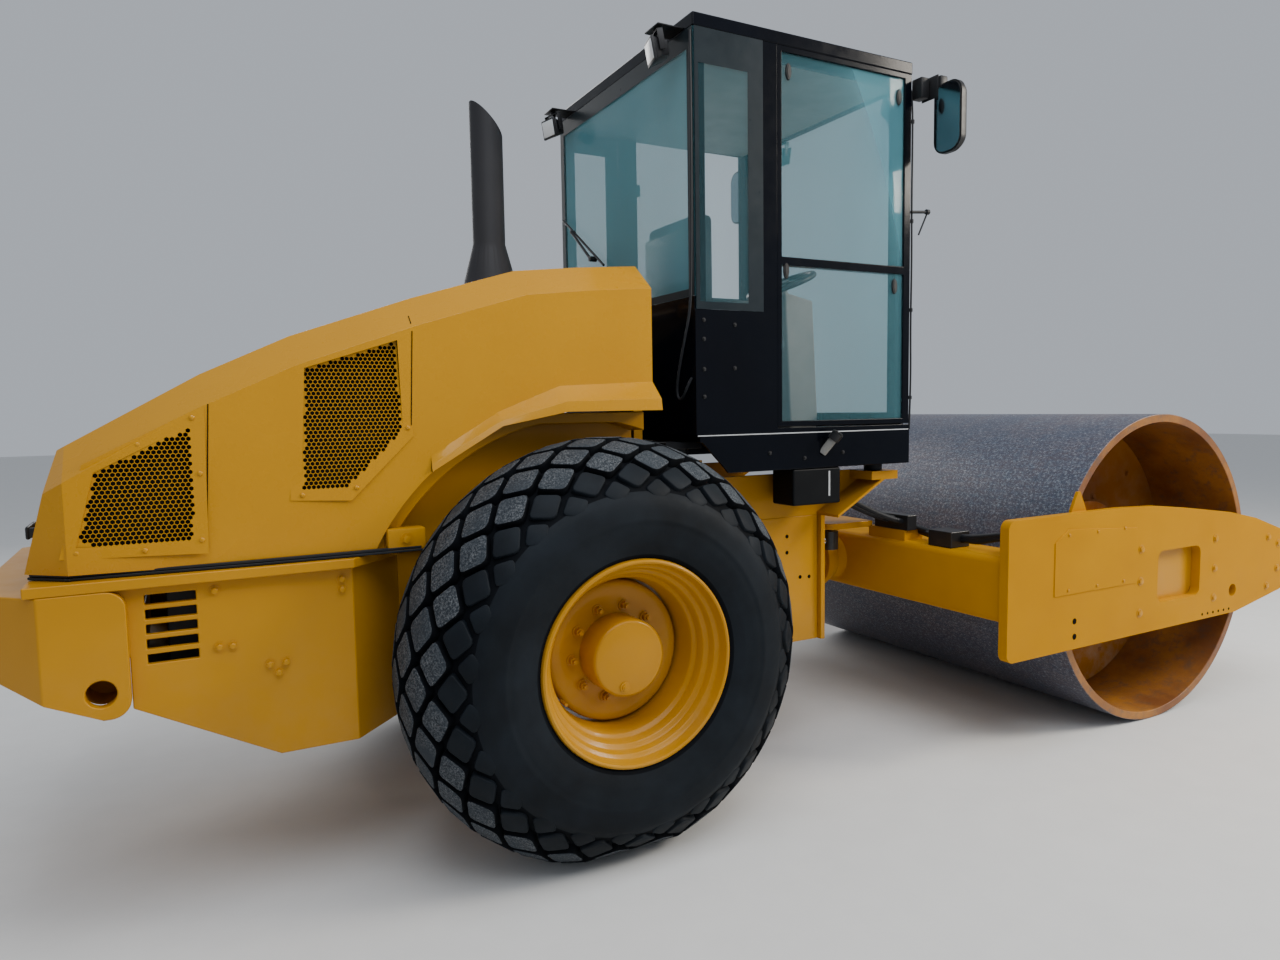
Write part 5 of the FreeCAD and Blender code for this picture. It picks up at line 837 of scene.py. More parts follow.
# %% Hood surface and punched sheet
hood_surface = BVHTree.FromBMesh(merged_copy("hood_shell"))
HOOD_HALF = 0.65  # for a ray that meets no wall
HOLE_PITCH = 0.0145
HOLE_R = 0.0061


def side_of_hood(x, z, side):
    """Place across the machine of the hood's wall at a station and height."""
    hit = hood_surface.ray_cast(Vector((x, side * 2.0, z)), Vector((0, -side, 0)))[0]
    return hit.y if hit else side * HOOD_HALF


def sides_of(corners):
    """Pairs of corners that follow each other round an outline."""
    return zip(corners, corners[1:] + corners[:1])


def between(start, end, part):
    """Point in a plane, a part of the way from one to another."""
    return start[0] + (end[0] - start[0]) * part, start[1] + (end[1] - start[1]) * part


def inside(point, corners, margin=0.0):
    """Whether a point lies within a convex anticlockwise outline, by a margin."""
    for start, end in sides_of(corners):
        run = Vector((end[0] - start[0], end[1] - start[1]))
        away = Vector((point[0] - start[0], point[1] - start[1]))
        if (run.x * away.y - run.y * away.x) / run.length < margin:
            return False
    return True


def hexagon_cells(holed):
    """One cell of the sheet, with its hole or blank."""
    bm = bmesh.new()
    bmesh.ops.create_circle(bm, cap_ends=True, segments=6, radius=HOLE_PITCH / math.sqrt(3))
    if holed:
        bmesh.ops.inset_individual(bm, faces=list(bm.faces), thickness=HOLE_PITCH / 2 - HOLE_R,
                                   depth=0.0)
        inner = max(bm.faces, key=lambda face: face.calc_area())
        bmesh.ops.delete(bm, geom=[inner], context="FACES")
    return kept_mesh("sheet_cell", bm)


def punched_sheet(corners, hole_corners):
    """Flat sheet in XY over an outline, with whole round holes only where they fit."""
    bm = bmesh.new()
    holed, blank = hexagon_cells(True), hexagon_cells(False)
    low_x, high_x = min(x for x, _ in corners), max(x for x, _ in corners)
    low_z, high_z = min(z for _, z in corners), max(z for _, z in corners)
    rise = HOLE_PITCH * math.sqrt(3) / 2
    for row in range(int((high_z - low_z) / rise) + 2):
        for column in range(int((high_x - low_x) / HOLE_PITCH) + 2):
            spot = (low_x + (column + 0.5 * (row % 2)) * HOLE_PITCH, low_z + row * rise)
            if inside(spot, corners, -HOLE_PITCH):
                cell = holed if inside(spot, hole_corners, HOLE_R) else blank
                stamp(bm, cell, Matrix.Translation((*spot, 0)))
    bmesh.ops.remove_doubles(bm, verts=bm.verts, dist=1e-4)
    trimmed(bm, corners)
    return bm


def trimmed(bm, corners):
    """Keeps the part of an XY sheet inside a convex outline given anticlockwise."""
    for start, end in sides_of(corners):
        run = Vector((end[0] - start[0], end[1] - start[1], 0))
        outward = Vector((run.y, -run.x, 0)).normalized()
        bmesh.ops.bisect_plane(bm, geom=bm.verts[:] + bm.edges[:] + bm.faces[:],
                               plane_co=(*start, 0), plane_no=outward, clear_outer=True)


def grown_outline(corners, reach):
    """Convex outline moved outward by a distance."""
    moved = []
    for before, corner, after in zip(corners[-1:] + corners, corners, corners[1:] + corners[:1]):
        first = Vector((corner[0] - before[0], corner[1] - before[1])).normalized()
        second = Vector((after[0] - corner[0], after[1] - corner[1])).normalized()
        out = Vector((first.y + second.y, -first.x - second.x)).normalized()
        scale = reach / max(0.3, out.dot(Vector((first.y, -first.x))))
        moved.append((corner[0] + out.x * scale, corner[1] + out.y * scale))
    return moved


BEYOND = 1.2  # the wall is felt for on solid metal, this much further out than the corners
FRONT_VENT = [(-0.996, 1.353), (-0.857, 1.345), (-0.667, 1.531), (-0.675, 1.838), (-0.972, 1.743)]
REAR_VENT = [(-1.616, 1.221), (-1.307, 1.211), (-1.299, 1.572), (-1.562, 1.436)]


def wall_at(corners, side):
    """Function for the flat hood wall round an opening: place across for a place and height."""
    middle_x = sum(x for x, _ in corners) / len(corners)
    middle_z = sum(z for _, z in corners) / len(corners)
    grown = [(along(middle_x + (x - middle_x) * BEYOND), middle_z + (z - middle_z) * BEYOND)
             for x, z in (corners[0], corners[2], corners[3])]
    first, second, third = [Vector((x, side_of_hood(x, z, side), z)) for x, z in grown]
    normal = (second - first).cross(third - first)
    return lambda x, z: first.y - (normal.x * (x - first.x) + normal.z * (z - first.z)) / normal.y


def pressed(bm, wall, side, out):
    """Moves an XY sheet upright onto the hood wall, a little in or out of it."""
    for vert in bm.verts:
        x, z = vert.co.x, vert.co.y
        vert.co = (x, wall(x, z) + side * (out + vert.co.z), z)


# %% Side grilles: sheet, raised bead and bolts
PANEL_EDGE = 0.034
PANEL_OUT = 0.003
BEAD_WIDE = 0.014
BEAD_TALL = 0.008
CORNER_SIZE = 0.024
DOME_STEP = 0.21
SCREEN_IN = 0.030


def rounded_outline(bm, corners, size, segments=4):
    """Flat face in XY with rounded corners."""
    face = bm.faces.new([bm.verts.new((x, y, 0)) for x, y in corners])
    rounded(bm, list(face.verts), size, segments, "VERTICES")
    bm.faces.ensure_lookup_table()
    return bm.faces[0]


def bead(corners):
    """Low ridge with a round back along an outline."""
    bm = bmesh.new()
    face = rounded_outline(bm, grown_outline(corners, BEAD_WIDE / 2), CORNER_SIZE)
    first = set(bm.verts)
    bmesh.ops.inset_region(bm, faces=[face], thickness=BEAD_WIDE / 2, depth=0.0)
    crest = [vert for vert in bm.verts if vert not in first]
    second = set(bm.verts)
    bmesh.ops.inset_region(bm, faces=[face], thickness=BEAD_WIDE / 2, depth=0.0)
    bmesh.ops.delete(bm, geom=[face], context="FACES_ONLY")
    bmesh.ops.translate(bm, vec=(0, 0, BEAD_TALL), verts=crest)
    foot = [vert for vert in bm.verts if vert not in second or vert in first]
    bmesh.ops.translate(bm, vec=(0, 0, -0.006), verts=foot)
    return bm


def vent(name, corners, side):
    """Sheet, bead and bolts of one side grille, as two meshes."""
    wall = wall_at(corners, side)
    holes = [(along(x), z) for x, z in corners]
    places = grown_outline(holes, PANEL_EDGE)
    sheet = punched_sheet(places, holes)
    pressed(sheet, wall, side, PANEL_OUT)
    ridge = bead(places)
    pressed(ridge, wall, side, 0.001)
    bmesh.ops.recalc_face_normals(ridge, faces=ridge.faces)
    middle_line = grown_outline(holes, PANEL_EDGE * 0.5)
    for start, end in sides_of(middle_line):
        count = max(1, round(math.dist(start, end) / DOME_STEP))
        for number in range(count):
            x, z = between(start, end, (number + 0.12) / count)
            place = Matrix.Translation((x, wall(x, z) + side * PANEL_OUT, z))
            stamp(ridge, DOME_BOLT, place @ facing_out(side))
    return kept_mesh(f"{name}_sheet", sheet), kept_mesh(f"{name}_bead", ridge)


def screen(bm, corners, wall, side):
    """Sheet behind an opening, near-black as painted shade of the bay seen through the holes."""
    sheet = bmesh.new()
    rounded_outline(sheet, grown_outline(corners, 0.02), CORNER_SIZE)
    pressed(sheet, wall, side, -SCREEN_IN)
    stamp(bm, kept_mesh("dust_screen", sheet))


grille, rims, screens = bmesh.new(), bmesh.new(), bmesh.new()
for side in (-1, 1):
    for label, corners in (("front", FRONT_VENT), ("rear", REAR_VENT)):
        panel, ridge = vent(f"{label}_vent", corners, side)
        stamp(grille, panel)
        stamp(rims, ridge)
        screen(screens, [(along(x), z) for x, z in corners], wall_at(corners, side), side)

TOP_BACK, TOP_FRONT, TOP_HALF = -1.600, -1.270, 0.400
top_holes = [(along(TOP_BACK), -TOP_HALF), (along(TOP_FRONT), -TOP_HALF),
             (along(TOP_FRONT), TOP_HALF), (along(TOP_BACK), TOP_HALF)]
top = punched_sheet(grown_outline(top_holes, 0.02), top_holes)
slope_hits = [hood_surface.ray_cast(Vector((along(x), 0.43, 3.0)), Vector((0, 0, -1)))[0]
              for x in (TOP_BACK - 0.02, TOP_FRONT + 0.02)]
top_rise = (slope_hits[1].z - slope_hits[0].z) / (slope_hits[1].x - slope_hits[0].x)
for vert in top.verts:
    vert.co.z = slope_hits[0].z + (vert.co.x - slope_hits[0].x) * top_rise + 0.002
stamp(grille, kept_mesh("top_sheet", top))
# near-black sheet under the top grille: painted shade of the bay
block(screens, (along(TOP_BACK), along(TOP_FRONT)), (-TOP_HALF, TOP_HALF),
      (slope_hits[0].z - SCREEN_IN - 0.004, slope_hits[0].z - SCREEN_IN))
hand_over("dust_screens", screens, "hood", [bay_dark])
sheets = hand_over("hood_grilles_punched", grille, "hood", [hood_paint],
                   ["hood_grilles"])
hand_over("grille_beads", rims, "hood", [hood_paint], smooth=50)
print("punched sheets:", len(sheets.data.polygons), "faces")

# %% [markdown]
# ## Hood trim
#
# A dark double-lipped rubber strip seals the hood on the frame's ledge. It is two thin bars, one
# over the other with a hair between them, that follow the ledge's outline in plan.

# %% Seal strip
SEAL_LOW, SEAL_HIGH = 1.124, 1.142
SEAL_LINE = [(-0.63, 0.657), (-1.15, 0.657), (-1.64, 0.63), (-1.735, 0.55)]  # station, place across


def strip(bm, points, wide, tall):
    """Bar of rectangular section along points in plan."""
    for (x0, y0), (x1, y1) in zip(points, points[1:]):
        run = Vector((x1 - x0, y1 - y0, 0))
        made = bmesh.ops.create_cube(bm, size=1.0)["verts"]
        bmesh.ops.scale(bm, vec=(run.length + wide, wide, tall[1] - tall[0]), verts=made)
        turn = Matrix.Rotation(math.atan2(run.y, run.x), 4, "Z")
        middle = Vector(((x0 + x1) / 2, (y0 + y1) / 2, (tall[0] + tall[1]) / 2))
        bmesh.ops.transform(bm, matrix=Matrix.Translation(middle) @ turn, verts=made)


seal = bmesh.new()
for side in (-1, 1):
    places = [(along(x), side * y) for x, y in SEAL_LINE]
    strip(seal, places, 0.022, (SEAL_LOW, SEAL_LOW + 0.008))
    strip(seal, places, 0.016, (SEAL_LOW + 0.009, SEAL_HIGH))
hand_over("hood_seal", seal, "tractor", [trim_rubber], round_edges=0.002)
print("seal strip done")

# %% [markdown]
# ## Cab
#
# A welded black frame with bonded glass. The frame, door and steps keep their CAD shape with
# rounded edges. The glass keeps its CAD panes and only gets its finish; its printed bands follow
# in a later step.

# %% Cab steel and glass
rounded_nodes([
    ("cab_base", "tractor", "yellow_paint", cab_black, 0.003),
    ("cab_frame", "tractor", "cab_paint", cab_black, 0.004),
    ("cab_roof", "tractor", "cab_paint", cab_black, 0.006),
    ("side_window_frame", "tractor", "cab_paint", cab_black, 0.003),
    ("door", "door", "cab_paint", cab_black, 0.003),
    ("steps grab_rail", "tractor", "cab_paint", cab_black, 0.003),
])


def give(name, finish):
    """Puts a finish on a CAD node that keeps its own mesh."""
    data = NODES[name].data
    data.materials.clear()
    data.materials.append(finish)


for name in ("cab_windows", "side_glass", "door_glass"):
    give(name, cab_glass)
print("cab steel and glass done")

# %% [markdown]
# ## Seat and controls
#
# The seat is a sprung driver's seat with a padded cushion and back. Both pads are rounded blocks
# that swell between their seams. The column, wheel and console stand in front of it.

# %% Seat pads
seat_low, seat_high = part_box("seat")


def pad(bm, x, y, z, swell):
    """Crowned cushion: a subdivided box whose middle swells more than its corners."""
    corners, size, middle = new_box(bm, x, y, z)
    made = rounded(bm, edges_at(corners), min(size) * 0.28, 3)
    verts = {vert for face in made["faces"] for vert in face.verts}
    bmesh.ops.subdivide_edges(bm, edges=edges_at(verts), cuts=3, use_grid_fill=True)
    for vert in bm.verts:
        reach = vert.co - middle
        if all(abs(reach[i]) <= size[i] / 2 + 1e-4 for i in range(3)):
            fade = 1.0
            for i in range(3):
                fade *= max(0.0, 1.0 - (abs(reach[i]) / (size[i] / 2)) ** 4 * 0.9)
            vert.co += reach.normalized() * swell * fade ** 0.5


def seat_pad(name, x, wide, z, swell):
    bm = bmesh.new()
    pad(bm, x, (-wide, wide), z, swell)
    return hand_over(name, bm, "tractor", [seat_cloth], smooth=80)


REAR, FRONT, TOP = seat_low.x, seat_high.x, seat_high.z
cushion_piece = seat_pad("seat_cushion", (REAR + 0.05, FRONT - 0.005), 0.235, (1.86, 1.952), 0.010)
back_piece = seat_pad("seat_back_pad", (REAR + 0.012, REAR + 0.105), 0.225, (1.90, TOP - 0.01), 0.008)
shell = bmesh.new()
for x0, x1, wide, z0, z1, size in (
        (REAR, REAR + 0.03, 0.24, 1.86, TOP - 0.06, 0.012),  # back shell
        (REAR + 0.02, FRONT - 0.02, 0.225, 1.82, 1.865, 0.012),  # pan
        (REAR + 0.13, FRONT - 0.09, 0.17, 1.485, 1.60, 0.015)):  # foot
    block(shell, (x0, x1), (-wide, wide), (z0, z1), size)
for number in range(6):  # bellows
    low = 1.60 + number * 0.037
    block(shell, (REAR + 0.15, FRONT - 0.11), (-0.15, 0.15), (low, low + 0.030), 0.010)
for side in (-1, 1):
    block(shell, (REAR + 0.08, REAR + 0.36), (side * 0.24, side * 0.248), (2.06, 2.09), 0.006)
hand_over("seat_shell", shell, "tractor", [black_plastic], ["seat"], 0.001)
print("seat done")

# %% Console, column and steering wheel
rounded_nodes([
    ("steering_console", "tractor", "grey_plastic", grey_plastic, 0.012),
    ("steering_wheel", "steering_wheel", "black_plastic", black_plastic, 0.004),
    ("washer_bottle", "tractor", "black_plastic", bottle_black, 0.010),
    ("exhaust_stack", "hood", "stack_paint", stack_black, 0.002),
])
print("small parts done")

# %% [markdown]
# ## Mirrors and work lamps
#
# A mirror is a rounded oblong shell, domed at the front, with its glass set in a rim that faces the
# driver. It hangs from two short channel plates at the cab's front corner. A work lamp is a small
# tapered box with a clear face, in a U bracket that hangs from a plate on the roof's edge.

# %% Mirrors
mirror_low, mirror_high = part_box("mirrors")
MIRROR_HALF = (0.078, 0.152)
MIRROR_Y, MIRROR_Z = 0.802, 2.852


def mirror_head():
    """Rounded oblong shell facing -Z, domed towards +Z, with its glass as the second finish."""
    bm = bmesh.new()
    wide, tall = MIRROR_HALF
    corners = [(-wide, -tall), (wide, -tall), (wide, tall), (-wide, tall)]
    glass = rounded_outline(bm, corners, 0.060, 8)
    made = bmesh.ops.extrude_edge_only(bm, edges=list(glass.edges))["geom"]
    for rise, scale in ((0.022, 1.0), (0.014, 0.93), (0.010, 0.80), (0.006, 0.55), (0.002, 0.2)):
        ring = verts_in(made)
        bmesh.ops.translate(bm, vec=(0, 0, rise), verts=ring)
        bmesh.ops.scale(bm, vec=(scale, scale, 1.0), verts=ring)
        edges = [item for item in made if isinstance(item, bmesh.types.BMEdge)]
        if scale > 0.2:
            made = bmesh.ops.extrude_edge_only(bm, edges=edges)["geom"]
    bmesh.ops.contextual_create(bm, geom=edges)
    bmesh.ops.inset_region(bm, faces=[glass], thickness=0.007, depth=0.0)
    bmesh.ops.inset_region(bm, faces=[glass], thickness=0.001, depth=-0.004)
    bmesh.ops.recalc_face_normals(bm, faces=bm.faces)
    glass.material_index = 1
    return kept_mesh("mirror_head", bm)


head = mirror_head()
mirrors = bmesh.new()
UPRIGHT = Matrix(((0, 0, 1), (1, 0, 0), (0, 1, 0))).to_4x4()
BASE, TIP, ARM_Y = mirror_low.x, mirror_high.x, 0.800
MIRROR_PLATES = [  # along, across and up of the channel plates, edge radius
    ((BASE, BASE + 0.050), (0.645, 0.705), (2.958, 3.048), 0.006),
    ((BASE + 0.052, BASE + 0.058), (0.655, 0.750), (2.952, 3.050), 0.002),
    ((BASE + 0.060, TIP - 0.012), (0.700, 0.760), (2.975, 3.046), 0.006),
]
MIRROR_RODS = [  # ends and radius of the arm, the stem and the clamp
    ((TIP - 0.030, 0.735, 3.010), (TIP - 0.030, ARM_Y, 2.992), 0.010),
    ((TIP - 0.030, ARM_Y, 3.002), (TIP - 0.030, ARM_Y, 2.950), 0.009),
    ((TIP - 0.020, ARM_Y, 2.905), (TIP - 0.002, ARM_Y, 2.905), 0.014),
]
for side in (-1, 1):
    stamp(mirrors, head, Matrix.Translation((TIP - 0.058, side * MIRROR_Y, MIRROR_Z)) @ UPRIGHT)
    for x, (y0, y1), z, size in MIRROR_PLATES:
        block(mirrors, x, (side * y0, side * y1), z, size)
    for (x0, y0, z0), (x1, y1, z1), radius in MIRROR_RODS:
        rod(mirrors, (x0, side * y0, z0), (x1, side * y1, z1), radius)
hand_over("mirror_heads", mirrors, "tractor", [black_plastic, mirror_glass],
          ["mirrors"], smooth=30)
print("mirror glass", 2 * MIRROR_HALF[1], "m tall")

# %% Work lamps
LAMP_HALF = (0.034, 0.050, 0.043)


def lamp_mesh():
    """Lamp facing -X about its own centre: housing, clear face, U bracket."""
    bm = bmesh.new()
    deep, wide, tall = LAMP_HALF
    block(bm, (-deep, deep), (-wide, wide), (-tall, tall), 0.012)
    back = [vert for vert in bm.verts if vert.co.x > 0]
    bmesh.ops.scale(bm, vec=(1.0, 0.72, 0.72), verts=back)
    for x0, x1, grown, size, finish in ((-0.004, 0.008, 0.003, 0.004, 0),  # rim
                                        (-0.006, 0.0, -0.006, 0.002, 1)):  # glass
        block(bm, (x0 - deep, x1 - deep), (-wide - grown, wide + grown),
              (-tall - grown, tall + grown), size, finish)
    for side in (-1, 1):
        span = (side * (wide + 0.001), side * (wide + 0.005))
        block(bm, (-0.010, 0.014), span, (-0.012, tall + 0.022), 0.001)
    block(bm, (-0.010, 0.014), (-wide - 0.005, wide + 0.005), (tall + 0.020, tall + 0.024), 0.001)
    rod(bm, (0.002, 0, tall + 0.022), (0.002, 0, tall + 0.036), 0.010, 8)
    return kept_mesh("work_lamp", bm)


lamp_low, lamp_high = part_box("work_lamps")
lamp = lamp_mesh()
lamps = bmesh.new()
LAMP_CENTRE = 3.001
for x, y, facing in ((lamp_low.x + 0.043, -0.530, -14), (lamp_low.x + 0.043, 0.530, 12),
                     (lamp_high.x - 0.043, -0.430, 174), (lamp_high.x - 0.043, 0.430, 186)):
    turn = Matrix.Rotation(math.radians(facing), 4, "Z") @ Matrix.Rotation(math.radians(-10), 4, "Y")
    stamp(lamps, lamp, Matrix.Translation((x, y, LAMP_CENTRE)) @ turn)
    inward = 0.092 if facing < 90 else -0.092
    block(lamps, (x - inward * 0.35, x + inward * 1.05), (y - 0.055, y + 0.055), (3.079, 3.085), 0.002)
    rod(lamps, (x, y, 3.050), (x, y, 3.092), 0.008, 8)
hand_over("work_lamp_heads", lamps, "tractor", [black_plastic, lamp_glass],
          ["work_lamps"], smooth=30)
print("four lamps")

# %% [markdown]
# ## Cab fittings
#
# The small things that a cab carries: two cables down its posts, a pale lining under the roof,
# finger grips on the sliding panes, a wiper, the washer filler and its bottle's level slot. A cable
# is a smooth curve with a round section, taken as a mesh, because a curve bends more evenly than a
# row of short cylinders.

# %% Round hoses and cables
CAB_BACK, CAB_HALF, ROOF_UNDER = along(0.497), 0.653, 3.070


def round_line(name, points, radius):
    """Mesh of a smooth tube along points, given as station, place across and height."""
    curve = bpy.data.curves.new(name, "CURVE")
    curve.dimensions = "3D"
    curve.bevel_depth = radius
    curve.bevel_resolution = 3
    curve.resolution_u = 6
    curve.use_fill_caps = True
    spline = curve.splines.new("NURBS")
    spline.points.add(len(points) - 1)
    for point, (x, y, z) in zip(spline.points, points):
        point.co = (along(x), y, z, 1.0)
    spline.order_u = 3
    spline.use_endpoint_u = True
    carrier = bpy.data.objects.new(name, curve)
    mesh = bpy.data.meshes.new_from_object(carrier)
    bpy.data.objects.remove(carrier)
    bpy.data.curves.remove(curve)
    return mesh


lines = bmesh.new()
BACK_CABLE = [(0.484, -0.652, 3.050), (0.486, -0.652, 2.720), (0.484, -0.652, 2.410),
              (0.480, -0.650, 2.100), (0.478, -0.645, 1.980), (0.468, -0.618, 1.870),
              (0.464, -0.580, 1.760), (0.464, -0.556, 1.665), (0.466, -0.570, 1.630),
              (0.466, -0.604, 1.636), (0.474, -0.630, 1.690), (0.490, -0.634, 1.716)]
FRONT_CABLE = [(1.640, -0.640, 3.060), (1.664, -0.648, 3.000), (1.666, -0.648, 2.740),
               (1.664, -0.648, 2.520), (1.668, -0.648, 2.250), (1.664, -0.648, 1.940),
               (1.670, -0.648, 1.700), (1.664, -0.645, 1.480)]
stamp(lines, round_line("back_cable", BACK_CABLE, 0.0055))
stamp(lines, round_line("front_cable", FRONT_CABLE, 0.0045))
for z in (2.86, 2.42, 2.02, 1.62):  # clips
    rod(lines, (along(1.666), -0.648, z), (along(1.666), -0.648, z + 0.016), 0.008, 10)
for (x0, y0, z0), (x1, y1, z1), radius, corners in (  # a short arm, its knob and its stay
        ((1.655, -0.655, 2.466), (1.752, -0.660, 2.474), 0.007, 10),
        ((1.742, -0.660, 2.474), (1.758, -0.660, 2.474), 0.012, 10),
        ((1.752, -0.660, 2.474), (1.700, -0.656, 2.368), 0.004, 8)):
    rod(lines, (along(x0), y0, z0), (along(x1), y1, z1), radius, corners)
hand_over("cab_cables", lines, "tractor", [trim_rubber], smooth=40)
print("cables clipped on the posts")

# %% Roof lining, grips, wiper and small bolts
lining = bmesh.new()
block(lining, (along(0.540), along(1.610)), (-0.600, 0.600), (3.018, 3.050), 0.014)
hand_over("roof_lining", lining, "tractor", [grey_plastic], smooth=40)


def oval(bm, x, y, z, half, thick):
    """Oval boss lying against a side wall."""
    made = bmesh.ops.create_cone(bm, cap_ends=True, segments=20, radius1=1.0, radius2=0.86,
                                 depth=1.0)["verts"]
    bmesh.ops.scale(bm, vec=(half[0], half[1], thick), verts=made)
    turn = Matrix.Rotation(math.radians(90), 4, "X")
    bmesh.ops.transform(bm, matrix=Matrix.Translation((x, y, z)) @ turn, verts=made)


fittings = bmesh.new()
pane_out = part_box("side_glass")[0].y
for x, z in ((0.963, 2.972), (1.580, 2.962), (0.950, 2.164), (1.562, 2.130)):
    oval(fittings, along(x), pane_out - 0.003, z, (0.015, 0.036), 0.006)
    oval(fittings, along(x), pane_out - 0.006, z, (0.009, 0.028), 0.004)
for start, y0, z0, end, y1, z1, radius, corners in (  # wiper blade, arm, pivot and joint
        (0.020, 0.590, 2.568, 0.020, 0.125, 2.272, 0.006, 8),
        (0.034, 0.460, 2.485, 0.034, 0.240, 2.318, 0.007, 8),
        (0.004, 0.240, 2.318, 0.040, 0.240, 2.318, 0.013, 12),
        (0.014, 0.458, 2.484, 0.040, 0.458, 2.484, 0.008, 8)):
    rod(fittings, (CAB_BACK - start, y0, z0), (CAB_BACK - end, y1, z1), radius, corners)
POST_BOLTS = [(0.536, 1.945), (0.685, 1.930), (0.536, 1.870), (0.536, 1.750), (0.684, 1.755),
              (0.536, 1.640)]
SILL_BOLTS = [(1.045, 1.373), (1.258, 1.390), (0.859, 1.401)]  # right side only
bolted(fittings, SMALL_BOLT, POST_BOLTS, CAB_HALF)
bolted(fittings, SMALL_BOLT, SILL_BOLTS, CAB_HALF, [-1])
hand_over("cab_fittings", fittings, "tractor", [black_plastic], smooth=30)
print("grips, wiper and bolts done")

# %% Washer filler, level slot and a painted highlight along the skirt's edge
filler = bmesh.new()
for (x0, y0, z0), (x1, y1, z1), radius, finish in (  # neck, cap and the cap's bevel
        ((1.146, -0.648, 1.390), (1.176, -0.688, 1.452), 0.018, 0),
        ((1.174, -0.686, 1.449), (1.188, -0.704, 1.477), 0.026, 1),
        ((1.188, -0.704, 1.477), (1.190, -0.706, 1.481), 0.022, 1)):
    rod(filler, (along(x0), y0, z0), (along(x1), y1, z1), radius, 20, finish)
bottle_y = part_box("washer_bottle")[0].y
block(filler, (along(1.180), along(1.189)), (bottle_y - 0.001, bottle_y + 0.002), (1.200, 1.310), 0.0, 2)
# pale strips along the top edge of the cab's skirt on each side: a painted highlight on the edge
for side in (-1, 1):
    span = (side * (CAB_HALF - 0.002), side * (CAB_HALF + 0.0012))
    block(filler, (along(0.503), along(1.650)), span, (1.4800, 1.4845), 0.0, 2)
hand_over("washer_filler", filler, "tractor",
          [grey_plastic, black_plastic, white_mark], (), 0.001, 40)
print("filler done")

# %% [markdown]
# ## Hydraulic hoses
#
# Four black hoses run from the frame to the drum's motors. They come out under the cab's deck, pass
# The stretches that cross the joints ride on no body; the clamped stretch is fixed to the yoke.
# The stretch that crosses the joints bends with them; the clamped stretch is fixed to the yoke.

# %% Hoses in the clamps and over the joints
HOSE_R = 0.013
HOSES = [-0.072, -0.024, 0.024, 0.072]  # place across the clamp
clamped, from_frame, from_hitch = bmesh.new(), bmesh.new(), bmesh.new()
for number, shift in enumerate(HOSES):
    lift = 0.010 * (number % 2)
    inner = -0.415 + shift
    outer = -0.730 + shift * 0.7
    high = 1.5 * lift
    route = [(1.500, inner * 0.80, 1.155 + lift), (1.635, inner * 0.93, 1.068 + lift),
             (1.745, inner, 1.032 + lift), (1.810, inner, 1.018 + lift),
             (1.872, inner - 0.030, 0.988 + lift), (1.885, (inner + outer) / 2, 0.958 + lift),
             (1.862, outer + 0.075, 0.958 + lift), (1.850, outer, 0.965 + lift),
             (1.850, outer - 0.120, 0.966 + lift), (1.852, -0.960, 0.985 + high),
             (1.856, -1.060, 1.010 + high)]
    start = [(1.240, -0.300 + shift, 1.262 + lift), (1.330, -0.320 + shift, 1.235 + lift),
             (1.420, inner * 0.78, 1.192 + lift), route[0]]
    stamp(clamped, round_line("clamped_hose", route[2:], HOSE_R))
    stamp(from_hitch, round_line("hitch_hose", route[:3], HOSE_R))
    stamp(from_frame, round_line("frame_hose", start, HOSE_R))
hand_over("clamped_hoses", clamped, "yoke", [trim_rubber], smooth=40)
crossing = hand_over("hitch_hoses", from_hitch, None, [trim_rubber], smooth=40)
leading = hand_over("frame_hoses", from_frame, None, [trim_rubber], smooth=40)
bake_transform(crossing)
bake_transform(leading)
print(len(HOSES), "hoses")

# %% [markdown]
# ## Bolts and small steel
#
# Hexagon heads sit where plates are bolted through: on the engine bay, on the yoke's side plates
# and round the drum's heads. The yoke's thin cover is held by low domed heads. Each head is one
# small mesh, stamped from a short table of places.

# %% Bolts on the engine bay and the yoke plates
BAY_WALL = 0.650
BAY_BOLTS = [  # station, height
    (-1.264, 1.056), (-0.886, 1.052), (-0.886, 1.018), (-1.259, 0.877), (-1.221, 0.876),
    (-1.117, 0.800), (-1.068, 0.801), (-1.091, 0.770),
]
CHEEK_OUT = 1.140
COVER_BOLTS = [(x, z) for z in (0.755, 1.004) for x in (2.137, 2.340, 2.538)]
CHEEK_BOLTS = [(2.675, 0.892), (2.675, 0.737), (2.675, 0.583), (3.296, 0.892), (3.296, 0.738),
               (3.296, 0.586), (3.795, 0.857), (3.895, 0.816), (3.892, 0.679), (3.794, 0.592)]
CHEEK_PINHOLES = [(2.192, 0.607), (2.194, 0.536)]
CHEEK_ROW = [(3.201 + number * 0.048, 0.510) for number in range(6)]
FRAME_PINHOLES = [(1.106, 1.000), (1.106, 0.925), (1.182, 0.804), (1.235, 0.801)]
bay_bolts = bmesh.new()
bolted(bay_bolts, BOLT, BAY_BOLTS, BAY_WALL)
hand_over("bay_bolts", bay_bolts, "tractor", [ochre_paint], smooth=30)
yoke_bolts = bmesh.new()
bolted(yoke_bolts, DOME_BOLT, COVER_BOLTS, COVER_OUT - THIN_COVER)
bolted(yoke_bolts, BIG_BOLT, CHEEK_BOLTS, CHEEK_OUT)
hand_over("yoke_bolts", yoke_bolts, "yoke", [ochre_paint], smooth=30)


def dark_discs(name, body, places, wall, radius):
    """Drilled holes, as discs a hair proud of the plate, near-black as painted shade inside the holes.
    """
    bm = bmesh.new()
    for side in (-1, 1):
        for x, z in places:
            rod(bm, (along(x), side * wall, z), (along(x), side * (wall + 0.0006), z), radius, 14)
    hand_over(name, bm, body, [bay_dark], smooth=30)


